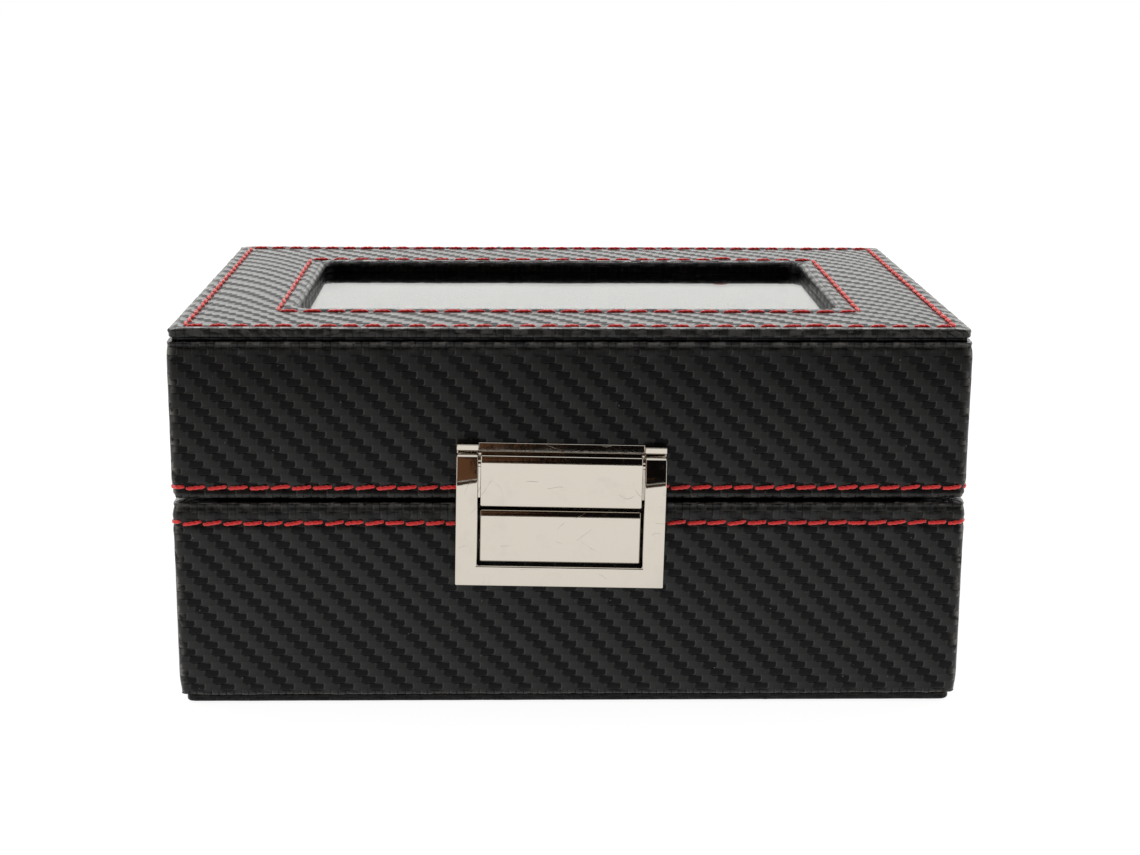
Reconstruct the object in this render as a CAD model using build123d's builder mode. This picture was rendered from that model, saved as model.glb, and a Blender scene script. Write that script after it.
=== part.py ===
"""Three-compartment watch box with a window lid, two rear hinges and a bail clasp.

Frame: millimetres, +Z up, front towards -Y. The origin is the centre of the
box's bottom face, on the surface that the box stands on.
"""
from build123d import *
import math
import os

os.makedirs("parts", exist_ok=True)

# ---------------------------------------------------------------- outer box
box_width = 165.0
box_depth = 115.0
base_height = 44.2            # table to the top rim of the base
split_gap = 0.8               # between the base's rim and the lid's rim
lid_wall_height = 33.1
panel_groove = 0.8            # shadow groove under the top panel
panel_edge = 1.9              # height of the top panel's covered edge
panel_inset = 0.5             # of the top panel from the wall faces
corner_radius = 1.5           # of the covered vertical corners

# ---------------------------------------------------------------- materials
wall_board = 7.0
leather = 0.6
lining = 1.2                  # velvet on card, on the inner faces of the boards
lip_height = 2.4              # of the base's lining above the base's rim
lip_clearance = 0.3           # between the lip and the lid's boards

# ------------------------------------------------------------------- bottom
bottom_thickness = 2.1
bottom_inset = 1.2
bottom_corner_radius = 2.0
floor_pad_thickness = 1.0

# ------------------------------------------------------------------- window
window_width = 116.0
window_length = 64.0
window_offset = -1.0          # of the window's centre from the box's centre, along Y
window_corner_radius = 3.0
glass_thickness = 2.0
glass_overlap = 4.0           # of the glass beyond the window on each side
glass_clearance = 0.3
retainer_ledge = 2.0          # thickness of the ledge under the glass
retainer_reach = 3.0          # of the ledge under the glass

# ----------------------------------------------------- compartments, pillows
divider_thickness = 2.4
divider_height = 36.0
compartments = 3
pillow_side_clearance = 0.7
pillow_rest_clearance = 0.3
pillow_length = 74.0
pillow_height = 43.5
pillow_edge_radius = 9.0

# ------------------------------------------------------------------- hinges
hinge_spacing = 92.0          # between the two hinges' centres
hinge_length = 20.0
leaf_height = 11.0
leaf_thickness = 1.0
knuckle_radius = 1.7
knuckle_standoff = 0.2        # between the knuckle and the leather
knuckle_middle = 7.6
knuckle_gap = 0.2
leaf_knuckle_clearance = 0.15
hinge_pin_radius = 0.8
hinge_pin_clearance = 0.05
leaf_lap = 0.3                # of the leaf's free edge from the split
hinge_screw_spread = 12.0
hinge_screw_radius = 0.8
hinge_screw_head_radius = 1.6
hinge_screw_head = 0.5
hinge_screw_length = 5.0      # in the board
hinge_screw_clearance = 0.1

# -------------------------------------------------------------------- clasp
clasp_offset = -2.1           # of the clasp's middle from the box's middle
clasp_tilt = 1.1              # degrees, right end lower
bail_width = 43.2
bail_arm = 4.5
bail_side_gap = 0.5           # between the arms and the blocks
bail_bar_height = 4.35
clasp_projection = 4.8        # front of the bail from the leather
lid_plate_thickness = 0.8
plate_gap = 0.1               # between the bail and the lid plate
bail_bar_gap = 0.1            # between the bar's back and the catch's front
catch_projection = 3.6
bail_bottom = -17.2           # heights from the split line
catch_bottom = -12.3
catch_top = -1.2
block_bottom = -0.1
block_top = 10.6
bail_top = 10.5
ear_bottom = 11.0
plate_top = 12.3
ear_projection = 2.4
plate_bottom = 0.6
clasp_top_edge = 1.2          # rounding of the blocks' top front edges
clasp_pin_radius = 0.8
clasp_pin_clearance = 0.05
clasp_pin_end = 0.3           # of the pin's ends inside the arms' outer faces
bump_radius = 0.7             # snap bumps on the catch's sides
bump_height = 0.3
bump_level = -8.0
clasp_screw_spread = 20.0
clasp_screw_radius = 1.0
clasp_screw_head_radius = 2.0
clasp_screw_head = 1.5
clasp_screw_bite = 2.2        # in the catch or the block
catch_screw_level = -6.6
block_screw_level = 6.0

# ------------------------------------------------------------ worked-out sizes
split_level = base_height + split_gap / 2
lid_bottom = base_height + split_gap
lid_wall_top = lid_bottom + lid_wall_height
box_height = lid_wall_top + panel_groove + panel_edge

board_width = box_width - 2 * leather
board_depth = box_depth - 2 * leather
cavity_width = board_width - 2 * wall_board
cavity_depth = board_depth - 2 * wall_board
inside_width = cavity_width - 2 * lining
inside_depth = cavity_depth - 2 * lining
front = -box_depth / 2
rear = box_depth / 2

lip_width = cavity_width - 2 * lip_clearance
lip_depth = cavity_depth - 2 * lip_clearance

base_board_top = base_height - leather
floor_level = bottom_thickness + floor_pad_thickness
lip_top = base_height + lip_height
lid_board_bottom = lid_bottom + leather
lid_board_top = lid_wall_top - leather

glass_top = lid_wall_top                # the glass lies against the top board
glass_bottom = glass_top - glass_thickness
retainer_bottom = glass_bottom - retainer_ledge
board_opening_width = window_width + 2 * leather
board_opening_length = window_length + 2 * leather
glass_width = window_width + 2 * glass_overlap
glass_length = window_length + 2 * glass_overlap

compartment_width = (inside_width - (compartments - 1) * divider_thickness) / compartments
compartment_pitch = compartment_width + divider_thickness
pillow_width = compartment_width - 2 * pillow_side_clearance

hinge_axis_y = rear + knuckle_standoff + knuckle_radius
hinge_axis_z = split_level
hinge_places = [-hinge_spacing / 2, hinge_spacing / 2]
base_leaf_top = split_level - split_gap / 2 - leaf_lap
lid_leaf_bottom = split_level + split_gap / 2 + leaf_lap
base_leaf_screw_level = base_leaf_top - leaf_height / 2 - 1.0
lid_leaf_screw_level = lid_leaf_bottom + leaf_height / 2 + 1.0

block_width = bail_width - 2 * (bail_arm + bail_side_gap)
bail_back = lid_plate_thickness + plate_gap
bail_pin_depth = (bail_back + clasp_projection) / 2
bail_end_radius = (clasp_projection - bail_back) / 2
bail_pin_level = bail_top - bail_end_radius
bail_bar_back = catch_projection + bail_bar_gap

# The clasp is drawn on its own plane on the front face: local X to the right,
# local Y up from the split line, local Z outwards. The plane carries the tilt.
tilt = math.radians(clasp_tilt)
clasp_plane = Plane(
    origin=(clasp_offset, front, split_level),
    x_dir=(math.cos(tilt), 0, -math.sin(tilt)),
    z_dir=(0, -1, 0),
)


# -------------------------------------------------------------------- helpers
def block(x_range, y_range, z_range, mode=Mode.ADD, base=Plane.XY):
    """Add or cut a block that spans three ranges of a plane's own axes."""
    with BuildSketch(base.offset(z_range[0])) as outline:
        with Locations((sum(x_range) / 2, sum(y_range) / 2)):
            Rectangle(x_range[1] - x_range[0], y_range[1] - y_range[0])
    extrude(outline.sketch, amount=z_range[1] - z_range[0], mode=mode)


def rounded_slab(width, depth, radius, z_range, centre_y=0.0, mode=Mode.ADD):
    """Add or cut a slab with rounded vertical corners."""
    with BuildSketch(Plane.XY.offset(z_range[0])) as outline:
        with Locations((0, centre_y)):
            RectangleRounded(width, depth, radius)
    extrude(outline.sketch, amount=z_range[1] - z_range[0], mode=mode)


def rod(start, direction, radius, length, mode=Mode.ADD):
    """Add or cut a round rod that runs from start along direction."""
    with BuildSketch(Plane(origin=start, z_dir=direction)) as section:
        Circle(radius)
    extrude(section.sketch, amount=length, mode=mode)


def clasp_point(right, up, out):
    """A point given on the clasp's plane, in the box's frame."""
    return clasp_plane.from_local_coords(Vector(right, up, out))


def clasp_screw_starts(level, depth):
    """The clasp screws' axis points at a height and depth on the clasp's plane."""
    return [clasp_point(side * clasp_screw_spread / 2, level, depth) for side in (-1, 1)]


def hinge_screw_starts(level, y):
    """The axis points of one row of hinge screws."""
    starts = []
    for middle in hinge_places:
        for side in (-1, 1):
            starts.append((middle + side * hinge_screw_spread / 2, y, level))
    return starts


def save(sub_part, name):
    """Label a finished sub-part and write its file."""
    sub_part.part.label = name
    export_step(sub_part.part, f"parts/{name}.step")


inwards = (0, 1, 0)
outwards = (0, -1, 0)


def cut_clasp_screws(level, head_recess=True):
    """Cut the clasp screws' shank holes and head recesses out of a front wall."""
    for start in clasp_screw_starts(level, 0):
        rod(start, inwards, clasp_screw_radius, leather + wall_board, mode=Mode.SUBTRACT)
    if head_recess:
        recess = -(leather + wall_board - clasp_screw_head)
        for start in clasp_screw_starts(level, recess):
            rod(start, inwards, clasp_screw_head_radius, clasp_screw_head, mode=Mode.SUBTRACT)


def cut_hinge_screws(level):
    """Cut the hinge screws' blind holes out of a rear wall and its leather."""
    for start in hinge_screw_starts(level, rear):
        rod(start, outwards, hinge_screw_radius, leather + hinge_screw_length, mode=Mode.SUBTRACT)


def long_wall(side, z_range):
    """Add a front (side -1) or rear (side 1) board with its outer corners rounded."""
    y_range = sorted((side * cavity_depth / 2, side * board_depth / 2))
    with BuildSketch(Plane.XY.offset(z_range[0])) as outline:
        with Locations((0, sum(y_range) / 2)):
            Rectangle(board_width, wall_board)
        outer_corners = outline.vertices().group_by(Axis.Y)[0 if side < 0 else -1]
        fillet(outer_corners, radius=corner_radius - leather)
    extrude(outline.sketch, amount=z_range[1] - z_range[0])


# ---------------------------------------------------------------- base: boards
with BuildPart() as base_bottom_panel:
    rounded_slab(box_width - 2 * bottom_inset, box_depth - 2 * bottom_inset,
                 bottom_corner_radius, (0, bottom_thickness))
save(base_bottom_panel, "base_bottom_panel")

base_levels = (bottom_thickness, base_board_top)

with BuildPart() as base_front_wall:
    long_wall(-1, base_levels)
    cut_clasp_screws(catch_screw_level)
save(base_front_wall, "base_front_wall")

with BuildPart() as base_rear_wall:
    long_wall(1, base_levels)
    cut_hinge_screws(base_leaf_screw_level)
save(base_rear_wall, "base_rear_wall")

with BuildPart() as base_left_wall:
    block((-board_width / 2, -cavity_width / 2), (-cavity_depth / 2, cavity_depth / 2), base_levels)
save(base_left_wall, "base_left_wall")

with BuildPart() as base_right_wall:
    block((cavity_width / 2, board_width / 2), (-cavity_depth / 2, cavity_depth / 2), base_levels)
save(base_right_wall, "base_right_wall")

# --------------------------------------------------- base: leather and lining
with BuildPart() as base_leather_wrap:
    rounded_slab(box_width, box_depth, corner_radius, (bottom_thickness, base_height))
    rounded_slab(board_width, board_depth, corner_radius - leather, base_levels, mode=Mode.SUBTRACT)
    block((-cavity_width / 2, cavity_width / 2), (-cavity_depth / 2, cavity_depth / 2),
          (bottom_thickness, base_height), mode=Mode.SUBTRACT)
    cut_clasp_screws(catch_screw_level, head_recess=False)
    cut_hinge_screws(base_leaf_screw_level)
save(base_leather_wrap, "base_leather_wrap")

with BuildPart() as base_floor_pad:
    block((-cavity_width / 2, cavity_width / 2), (-cavity_depth / 2, cavity_depth / 2),
          (bottom_thickness, floor_level))
save(base_floor_pad, "base_floor_pad")

with BuildPart() as base_lining:
    block((-cavity_width / 2, cavity_width / 2), (-cavity_depth / 2, cavity_depth / 2),
          (floor_level, base_board_top))
    block((-lip_width / 2, lip_width / 2), (-lip_depth / 2, lip_depth / 2),
          (base_board_top, lip_top))
    block((-inside_width / 2, inside_width / 2), (-inside_depth / 2, inside_depth / 2),
          (floor_level, lip_top), mode=Mode.SUBTRACT)
save(base_lining, "base_lining")

for index, name in enumerate(("divider_left", "divider_right")):
    middle = (index - 0.5) * compartment_pitch
    with BuildPart() as divider:
        block((middle - divider_thickness / 2, middle + divider_thickness / 2),
              (-inside_depth / 2, inside_depth / 2),
              (floor_level, floor_level + divider_height))
        fillet(divider.faces().sort_by(Axis.Z)[-1].edges().filter_by(Axis.Y), radius=0.8)
    save(divider, name)

# -------------------------------------------------------------- watch pillows
pillow_bottom = floor_level + pillow_rest_clearance
for index, name in enumerate(("watch_pillow_left", "watch_pillow_centre", "watch_pillow_right")):
    middle = (index - 1) * compartment_pitch
    with BuildPart() as pillow:
        block((middle - pillow_width / 2, middle + pillow_width / 2),
              (-pillow_length / 2, pillow_length / 2),
              (pillow_bottom, pillow_bottom + pillow_height))
        fillet(pillow.edges(), radius=pillow_edge_radius)
    save(pillow, name)

# ----------------------------------------------------------------- lid: boards
lid_levels = (lid_board_bottom, lid_board_top)

with BuildPart() as lid_front_wall:
    long_wall(-1, lid_levels)
    cut_clasp_screws(block_screw_level)
save(lid_front_wall, "lid_front_wall")

with BuildPart() as lid_rear_wall:
    long_wall(1, lid_levels)
    cut_hinge_screws(lid_leaf_screw_level)
save(lid_rear_wall, "lid_rear_wall")

with BuildPart() as lid_left_wall:
    block((-board_width / 2, -cavity_width / 2), (-cavity_depth / 2, cavity_depth / 2), lid_levels)
save(lid_left_wall, "lid_left_wall")

with BuildPart() as lid_right_wall:
    block((cavity_width / 2, board_width / 2), (-cavity_depth / 2, cavity_depth / 2), lid_levels)
save(lid_right_wall, "lid_right_wall")

with BuildPart() as lid_leather_wrap:
    rounded_slab(box_width, box_depth, corner_radius, (lid_bottom, lid_wall_top))
    rounded_slab(board_width, board_depth, corner_radius - leather, lid_levels, mode=Mode.SUBTRACT)
    block((-cavity_width / 2, cavity_width / 2), (-cavity_depth / 2, cavity_depth / 2),
          (lid_bottom, lid_wall_top), mode=Mode.SUBTRACT)
    cut_clasp_screws(block_screw_level, head_recess=False)
    cut_hinge_screws(lid_leaf_screw_level)
save(lid_leather_wrap, "lid_leather_wrap")

# ------------------------------------------------------- lid: top and window
top_width = box_width - 2 * panel_inset
top_depth = box_depth - 2 * panel_inset
top_board_top = box_height - leather
opening_radius = window_corner_radius + leather

with BuildPart() as lid_top_board:
    rounded_slab(top_width - 2 * leather, top_depth - 2 * leather, corner_radius - leather,
                 (lid_wall_top, top_board_top))
    rounded_slab(board_opening_width, board_opening_length, opening_radius,
                 (lid_wall_top, top_board_top), window_offset, Mode.SUBTRACT)
save(lid_top_board, "lid_top_board")

with BuildPart() as lid_top_cover:
    rounded_slab(top_width, top_depth, corner_radius, (lid_wall_top + panel_groove, box_height))
    rounded_slab(top_width - 2 * leather, top_depth - 2 * leather, corner_radius - leather,
                 (lid_wall_top + panel_groove, top_board_top), mode=Mode.SUBTRACT)
    rounded_slab(board_opening_width, board_opening_length, opening_radius,
                 (glass_top, box_height), window_offset)
    rounded_slab(window_width, window_length, window_corner_radius,
                 (glass_top, box_height), window_offset, Mode.SUBTRACT)
save(lid_top_cover, "lid_top_cover")

with BuildPart() as window_glass:
    block((-glass_width / 2, glass_width / 2),
          (window_offset - glass_length / 2, window_offset + glass_length / 2),
          (glass_bottom, glass_top))
save(window_glass, "window_glass")

pocket_width = glass_width + 2 * glass_clearance
pocket_length = glass_length + 2 * glass_clearance
ledge_width = glass_width - 2 * retainer_reach
ledge_length = glass_length - 2 * retainer_reach

with BuildPart() as glass_retaining_frame:
    block((-cavity_width / 2, cavity_width / 2), (-cavity_depth / 2, cavity_depth / 2),
          (retainer_bottom, glass_top))
    block((-pocket_width / 2, pocket_width / 2),
          (window_offset - pocket_length / 2, window_offset + pocket_length / 2),
          (glass_bottom, glass_top), mode=Mode.SUBTRACT)
    block((-ledge_width / 2, ledge_width / 2),
          (window_offset - ledge_length / 2, window_offset + ledge_length / 2),
          (retainer_bottom, glass_bottom), mode=Mode.SUBTRACT)
save(glass_retaining_frame, "glass_retaining_frame")

with BuildPart() as lid_lining:
    block((-cavity_width / 2, cavity_width / 2), (-cavity_depth / 2, cavity_depth / 2),
          (lip_top, retainer_bottom))
    block((-inside_width / 2, inside_width / 2), (-inside_depth / 2, inside_depth / 2),
          (lip_top, retainer_bottom), mode=Mode.SUBTRACT)
save(lid_lining, "lid_lining")

# --------------------------------------------------------------------- hinges
knuckle_end = (hinge_length - knuckle_middle) / 2 - knuckle_gap
knuckle_reach = knuckle_radius + leaf_knuckle_clearance
hinge_bore_radius = hinge_pin_radius + hinge_pin_clearance
leaf_y = (rear, rear + leaf_thickness)
leaf_screw_hole = hinge_screw_radius + hinge_screw_clearance


def knuckle(x_start, length):
    """Add one knuckle of a hinge along its axis."""
    rod((x_start, hinge_axis_y, hinge_axis_z), (1, 0, 0), knuckle_radius, length)


with BuildPart() as hinge_base_leaves:
    for middle in hinge_places:
        left = middle - hinge_length / 2
        block((left, left + hinge_length), leaf_y, (base_leaf_top - leaf_height, base_leaf_top))
        knuckle(left, knuckle_end)
        knuckle(left + hinge_length - knuckle_end, knuckle_end)
        block((left + knuckle_end, left + hinge_length - knuckle_end),
              (rear, hinge_axis_y + knuckle_reach),
              (hinge_axis_z - knuckle_reach, hinge_axis_z + knuckle_reach), mode=Mode.SUBTRACT)
        rod((left, hinge_axis_y, hinge_axis_z), (1, 0, 0), hinge_pin_radius, hinge_length,
            mode=Mode.SUBTRACT)
    for start in hinge_screw_starts(base_leaf_screw_level, rear):
        rod(start, inwards, leaf_screw_hole, leaf_thickness, mode=Mode.SUBTRACT)
save(hinge_base_leaves, "hinge_base_leaves")

with BuildPart() as hinge_lid_leaves:
    for middle in hinge_places:
        left = middle - hinge_length / 2
        knuckle_left = middle - knuckle_middle / 2
        block((left, left + hinge_length), leaf_y, (lid_leaf_bottom, lid_leaf_bottom + leaf_height))
        for x_start in (left, left + hinge_length - knuckle_end - knuckle_gap):
            block((x_start, x_start + knuckle_end + knuckle_gap),
                  (rear, hinge_axis_y + knuckle_reach),
                  (hinge_axis_z - knuckle_reach, hinge_axis_z + knuckle_reach), mode=Mode.SUBTRACT)
        knuckle(knuckle_left, knuckle_middle)
        rod((left, hinge_axis_y, hinge_axis_z), (1, 0, 0), hinge_bore_radius, hinge_length,
            mode=Mode.SUBTRACT)
    for start in hinge_screw_starts(lid_leaf_screw_level, rear):
        rod(start, inwards, leaf_screw_hole, leaf_thickness, mode=Mode.SUBTRACT)
save(hinge_lid_leaves, "hinge_lid_leaves")

with BuildPart() as hinge_pins:
    for middle in hinge_places:
        rod((middle - hinge_length / 2, hinge_axis_y, hinge_axis_z), (1, 0, 0),
            hinge_pin_radius, hinge_length)
save(hinge_pins, "hinge_pins")

for name, level in (("hinge_base_screws", base_leaf_screw_level),
                    ("hinge_lid_screws", lid_leaf_screw_level)):
    with BuildPart() as hinge_screws:
        for start in hinge_screw_starts(level, rear + leaf_thickness):
            rod(start, outwards, hinge_screw_radius, leaf_thickness + leather + hinge_screw_length)
            rod(start, inwards, hinge_screw_head_radius, hinge_screw_head)
    save(hinge_screws, name)

# ---------------------------------------------------------------------- clasp
half_block = block_width / 2
half_bail = bail_width / 2
clasp_up = Axis(clasp_plane.origin, clasp_plane.y_dir)


def top_front_edge(sub_part):
    """The long edge where a clasp block's top meets its front."""
    return sub_part.faces().sort_by(clasp_up)[-1].edges().sort_by(Axis.Y)[0]


with BuildPart() as clasp_lid_plate:
    block((-half_bail, half_bail), (plate_bottom, plate_top), (0, lid_plate_thickness),
          base=clasp_plane)
    for side in (-1, 1):
        ear = sorted((side * half_bail, side * (half_bail - bail_arm)))
        block(ear, (ear_bottom, plate_top), (lid_plate_thickness, ear_projection),
              base=clasp_plane)
    for start in clasp_screw_starts(block_screw_level, 0):
        rod(start, outwards, clasp_screw_radius, lid_plate_thickness, mode=Mode.SUBTRACT)
save(clasp_lid_plate, "clasp_lid_plate")

with BuildPart() as clasp_upper_block:
    block((-half_block, half_block), (block_bottom, block_top),
          (lid_plate_thickness, clasp_projection), base=clasp_plane)
    fillet(top_front_edge(clasp_upper_block), radius=clasp_top_edge)
    rod(clasp_point(-half_block, bail_pin_level, bail_pin_depth), clasp_plane.x_dir,
        clasp_pin_radius, block_width, mode=Mode.SUBTRACT)
    for start in clasp_screw_starts(block_screw_level, lid_plate_thickness):
        rod(start, outwards, clasp_screw_radius, clasp_screw_bite, mode=Mode.SUBTRACT)
save(clasp_upper_block, "clasp_upper_block")

with BuildPart() as clasp_pin:
    rod(clasp_point(-half_bail + clasp_pin_end, bail_pin_level, bail_pin_depth),
        clasp_plane.x_dir, clasp_pin_radius, bail_width - 2 * clasp_pin_end)
save(clasp_pin, "clasp_pin")

with BuildPart() as clasp_bail:
    for side in (-1, 1):
        arm = sorted((side * half_bail, side * (half_bail - bail_arm)))
        block(arm, (bail_bottom, bail_pin_level), (bail_back, clasp_projection),
              base=clasp_plane)
        rod(clasp_point(arm[0], bail_pin_level, bail_pin_depth), clasp_plane.x_dir,
            bail_end_radius, bail_arm)
        rod(clasp_point(arm[0], bail_pin_level, bail_pin_depth), clasp_plane.x_dir,
            clasp_pin_radius + clasp_pin_clearance, bail_arm, mode=Mode.SUBTRACT)
    block((-half_bail, half_bail), (bail_bottom, bail_bottom + bail_bar_height),
          (bail_bar_back, clasp_projection), base=clasp_plane)
save(clasp_bail, "clasp_bail")

with BuildPart() as clasp_catch:
    block((-half_block, half_block), (catch_bottom, catch_top), (0, catch_projection),
          base=clasp_plane)
    fillet(top_front_edge(clasp_catch), radius=clasp_top_edge)
    for side in (-1, 1):
        rod(clasp_point(side * half_block, bump_level, catch_projection / 2),
            clasp_plane.x_dir * side, bump_radius, bump_height)
    for start in clasp_screw_starts(catch_screw_level, 0):
        rod(start, outwards, clasp_screw_radius, clasp_screw_bite, mode=Mode.SUBTRACT)
save(clasp_catch, "clasp_catch")

for name, level, reach in (("clasp_base_screws", catch_screw_level, clasp_screw_bite),
                           ("clasp_lid_screws", block_screw_level,
                            lid_plate_thickness + clasp_screw_bite)):
    with BuildPart() as clasp_screws:
        wall = leather + wall_board
        for start in clasp_screw_starts(level, -(wall - clasp_screw_head)):
            rod(start, outwards, clasp_screw_radius, wall - clasp_screw_head + reach)
            rod(start, inwards, clasp_screw_head_radius, clasp_screw_head)
    save(clasp_screws, name)

print("lid hinge axis", 0.0, hinge_axis_y, hinge_axis_z)
print("bail pin", tuple(clasp_point(0, bail_pin_level, bail_pin_depth)))
print("along", tuple(clasp_plane.x_dir))
print("box height", box_height)
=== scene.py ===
"""Watch box with a window lid: the visible shell, stitching, clasp, lining and pillows.

Laid out as an add-on. Each piece or group of like pieces is one operator, the sizes and
colours a user would change are properties, and main() calls the operators in order.
All lengths are metres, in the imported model's frame: front towards -Y, +Z up.
"""
import math

import bmesh
import bpy
import numpy as np
from bpy.props import FloatProperty, FloatVectorProperty, PointerProperty
from mathutils import Matrix, Vector, noise


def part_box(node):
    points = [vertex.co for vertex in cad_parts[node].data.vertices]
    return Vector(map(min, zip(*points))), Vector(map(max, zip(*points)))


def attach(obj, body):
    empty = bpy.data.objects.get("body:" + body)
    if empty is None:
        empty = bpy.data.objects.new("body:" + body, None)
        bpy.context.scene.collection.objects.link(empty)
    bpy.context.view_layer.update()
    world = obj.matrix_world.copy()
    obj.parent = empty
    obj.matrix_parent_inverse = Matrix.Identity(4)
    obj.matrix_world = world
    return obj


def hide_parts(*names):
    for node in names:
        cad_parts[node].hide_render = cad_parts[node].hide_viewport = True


bl_info = {
    "name": "Watch Box",
    "version": (1, 0, 0),
    "blender": (4, 5, 0),
    "location": "View3D > Sidebar > Watch Box",
    "description": "Builds a leather-covered watch box with a window lid around its packed model",
    "category": "Add Mesh",
}

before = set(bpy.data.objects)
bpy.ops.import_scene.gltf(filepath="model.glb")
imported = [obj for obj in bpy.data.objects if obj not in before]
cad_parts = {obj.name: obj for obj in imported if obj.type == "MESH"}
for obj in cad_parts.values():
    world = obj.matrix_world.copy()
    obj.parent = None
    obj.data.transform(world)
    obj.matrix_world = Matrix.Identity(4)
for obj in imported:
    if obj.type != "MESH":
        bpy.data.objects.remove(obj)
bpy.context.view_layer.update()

MM = 0.001
TURNED_IN = 7.62 * MM     # how far the leather reaches in over the walls' rims
HINGE_LENGTH = 20 * MM    # length of each rear hinge along its pin
REAR = 50 * MM            # a spot further back than this is on the rear wall
CLASP_TILT = math.radians(1.1)
PIN_LEVEL = 8.55 * MM     # the clasp's pin above the line where the lid meets the base
PILLOW_SCALE = 10.0       # the simulation runs on a pillow ten times as large


# ------------------------------------------------------------------ properties
def length(name, description, millimetres):
    """A length property whose default is given in millimetres."""
    return FloatProperty(name=name, description=description, default=millimetres * MM,
                         min=0.0, unit="LENGTH", subtype="DISTANCE")


def share(name, description, default):
    """A plain factor property."""
    return FloatProperty(name=name, description=description, default=default, min=0.0)


def colour(name, description, default):
    """A colour property."""
    return FloatVectorProperty(name=name, description=description, default=default,
                               size=3, min=0.0, max=1.0, subtype="COLOR")


class WatchBoxLeather(bpy.types.PropertyGroup):
    """Embossed leather and how it turns over the edges."""
    # The weft and warp colours are painted sheen: the same black leather is coloured darker on the cross
    # threads and lighter on the long threads, standing in for how each catches the light.
    weft: colour("Weft", "Colour of the embossed cross threads", (0.005, 0.005, 0.0053))
    warp: colour("Warp", "Colour of the embossed long threads", (0.0095, 0.0095, 0.0090))
    # This pale colour serves both for scuffed patches and for the highlights painted along the upright
    # corners and the top rims.
    worn_and_highlight: colour("Worn", "Colour where the leather is rubbed", (0.20, 0.195, 0.18))
    coat_ior: share("Coat index", "Refractive index of the leather's clear finish", 1.32)
    weft_coat: share("Cross thread gloss", "Share of the clear finish on the cross threads", 0.17)
    thread_pitch: length("Thread pitch", "Width of one embossed thread", 1.57)
    emboss: length("Emboss depth", "Depth of the embossed threads", 0.16)
    thickness: length("Thickness", "Thickness of the leather", 0.6)
    corner_radius: length("Corner radius", "Radius of the walls' upright corners", 1.5)
    grain_step: length("Mesh step", "Spacing of the leather's mesh along the edges", 0.48)
    crumple: length("Crumple", "Height of the folds where the leather turns over", 0.17)
    groove: length("Stitch groove", "Depth that the thread pulls the leather in", 0.26)


class WatchBoxStitching(bpy.types.PropertyGroup):
    """Red lockstitch along the walls and round the top."""
    thread: colour("Thread", "Colour of the sewing thread", (0.84, 0.007, 0.007))
    thread_width: length("Thread width", "Width of the twisted thread", 0.86)
    lid_pitch: length("Lid pitch", "Stitch pitch on the lid's walls", 4.36)
    base_pitch: length("Base pitch", "Stitch pitch on the base's walls", 4.20)
    top_pitch: length("Top pitch", "Stitch pitch along the top's outer edge", 4.55)
    window_pitch: length("Window pitch", "Stitch pitch round the window", 5.0)
    gap: length("Gap", "Gap between one stitch and the next on the walls", 0.22)
    top_gap: length("Top gap", "Gap between one stitch and the next on the top", 1.05)
    lid_height: length("Lid row height", "Row height above the lid's lower rim", 2.5)
    base_drop: length("Base row drop", "Row depth below the base's upper rim", 4.3)
    top_margin: length("Top margin", "Row distance from the top's outer edge", 3.0)
    window_margin: length("Window margin", "Row distance from the window's edge", 4.1)
    slant: length("Slant", "Rise of each stitch from one end to the other", 0.46)


class WatchBoxMetal(bpy.types.PropertyGroup):
    """Nickel-plated clasp and hinges."""
    nickel: colour("Nickel", "Colour of the plating", (0.600, 0.554, 0.482))
    roughness: share("Roughness", "Roughness of clean plating", 0.07)
    edge: length("Edge", "Rounding of the clasp's edges", 0.32)
    crown: length("Arm crown", "Height over which the bail's arms slope back", 6.2)


class WatchBoxInterior(bpy.types.PropertyGroup):
    """Velvet lining and pillows."""
    lining: colour("Lining", "Colour of the velvet lining", (0.012, 0.012, 0.013))
    pillow: colour("Pillow", "Colour of the pillows' velvet", (0.030, 0.030, 0.033))
    board: colour("Board", "Colour of the raw fibreboard", (0.30, 0.19, 0.10))
    pillow_puff: share("Pillow puff", "Pressure in the pillows' cloth simulation", 4.0)


class WatchBoxStage(bpy.types.PropertyGroup):
    """Camera, floor and light."""
    camera_place: FloatVectorProperty(
        name="Camera place", description="Camera position in the model's frame",
        default=(-0.01033, -0.46345, 0.15757), size=3, unit="LENGTH", subtype="XYZ")
    pitch: FloatProperty(name="Pitch", description="Camera's tilt below the horizon",
                         default=math.radians(13.474), subtype="ANGLE")
    yaw: FloatProperty(name="Yaw", description="Camera's turn towards +X",
                       default=math.radians(1.425), subtype="ANGLE")
    roll: FloatProperty(name="Roll", description="Camera's roll",
                        default=math.radians(-0.328), subtype="ANGLE")
    lens: FloatProperty(name="Lens", description="Focal length in millimetres on a 36 mm sensor",
                        default=64.11, min=1.0, subtype="DISTANCE_CAMERA")
    floor_radius: length("Floor radius", "Radius of the floor", 4000.0)
    floor_glow: share("Floor glow", "Evenness that the floor adds to the light", 0.92)
    sheet_reach: length("Sheet reach", "How far the white sheet reaches in front of the box", 380.0)
    back_light: share("Back light", "Brightness of the room behind the box", 1.22)
    front_light: share("Front light", "Brightness of the dark room above the camera", 0.035)


GROUPS = {
    "watchbox_leather": WatchBoxLeather,
    "watchbox_stitching": WatchBoxStitching,
    "watchbox_metal": WatchBoxMetal,
    "watchbox_interior": WatchBoxInterior,
    "watchbox_stage": WatchBoxStage,
}


# ---------------------------------------------------------------- mesh helpers
def new_object(name, mesh):
    """Link a new object for a mesh."""
    piece = bpy.data.objects.new(name, mesh)
    bpy.context.scene.collection.objects.link(piece)
    return piece


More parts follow.
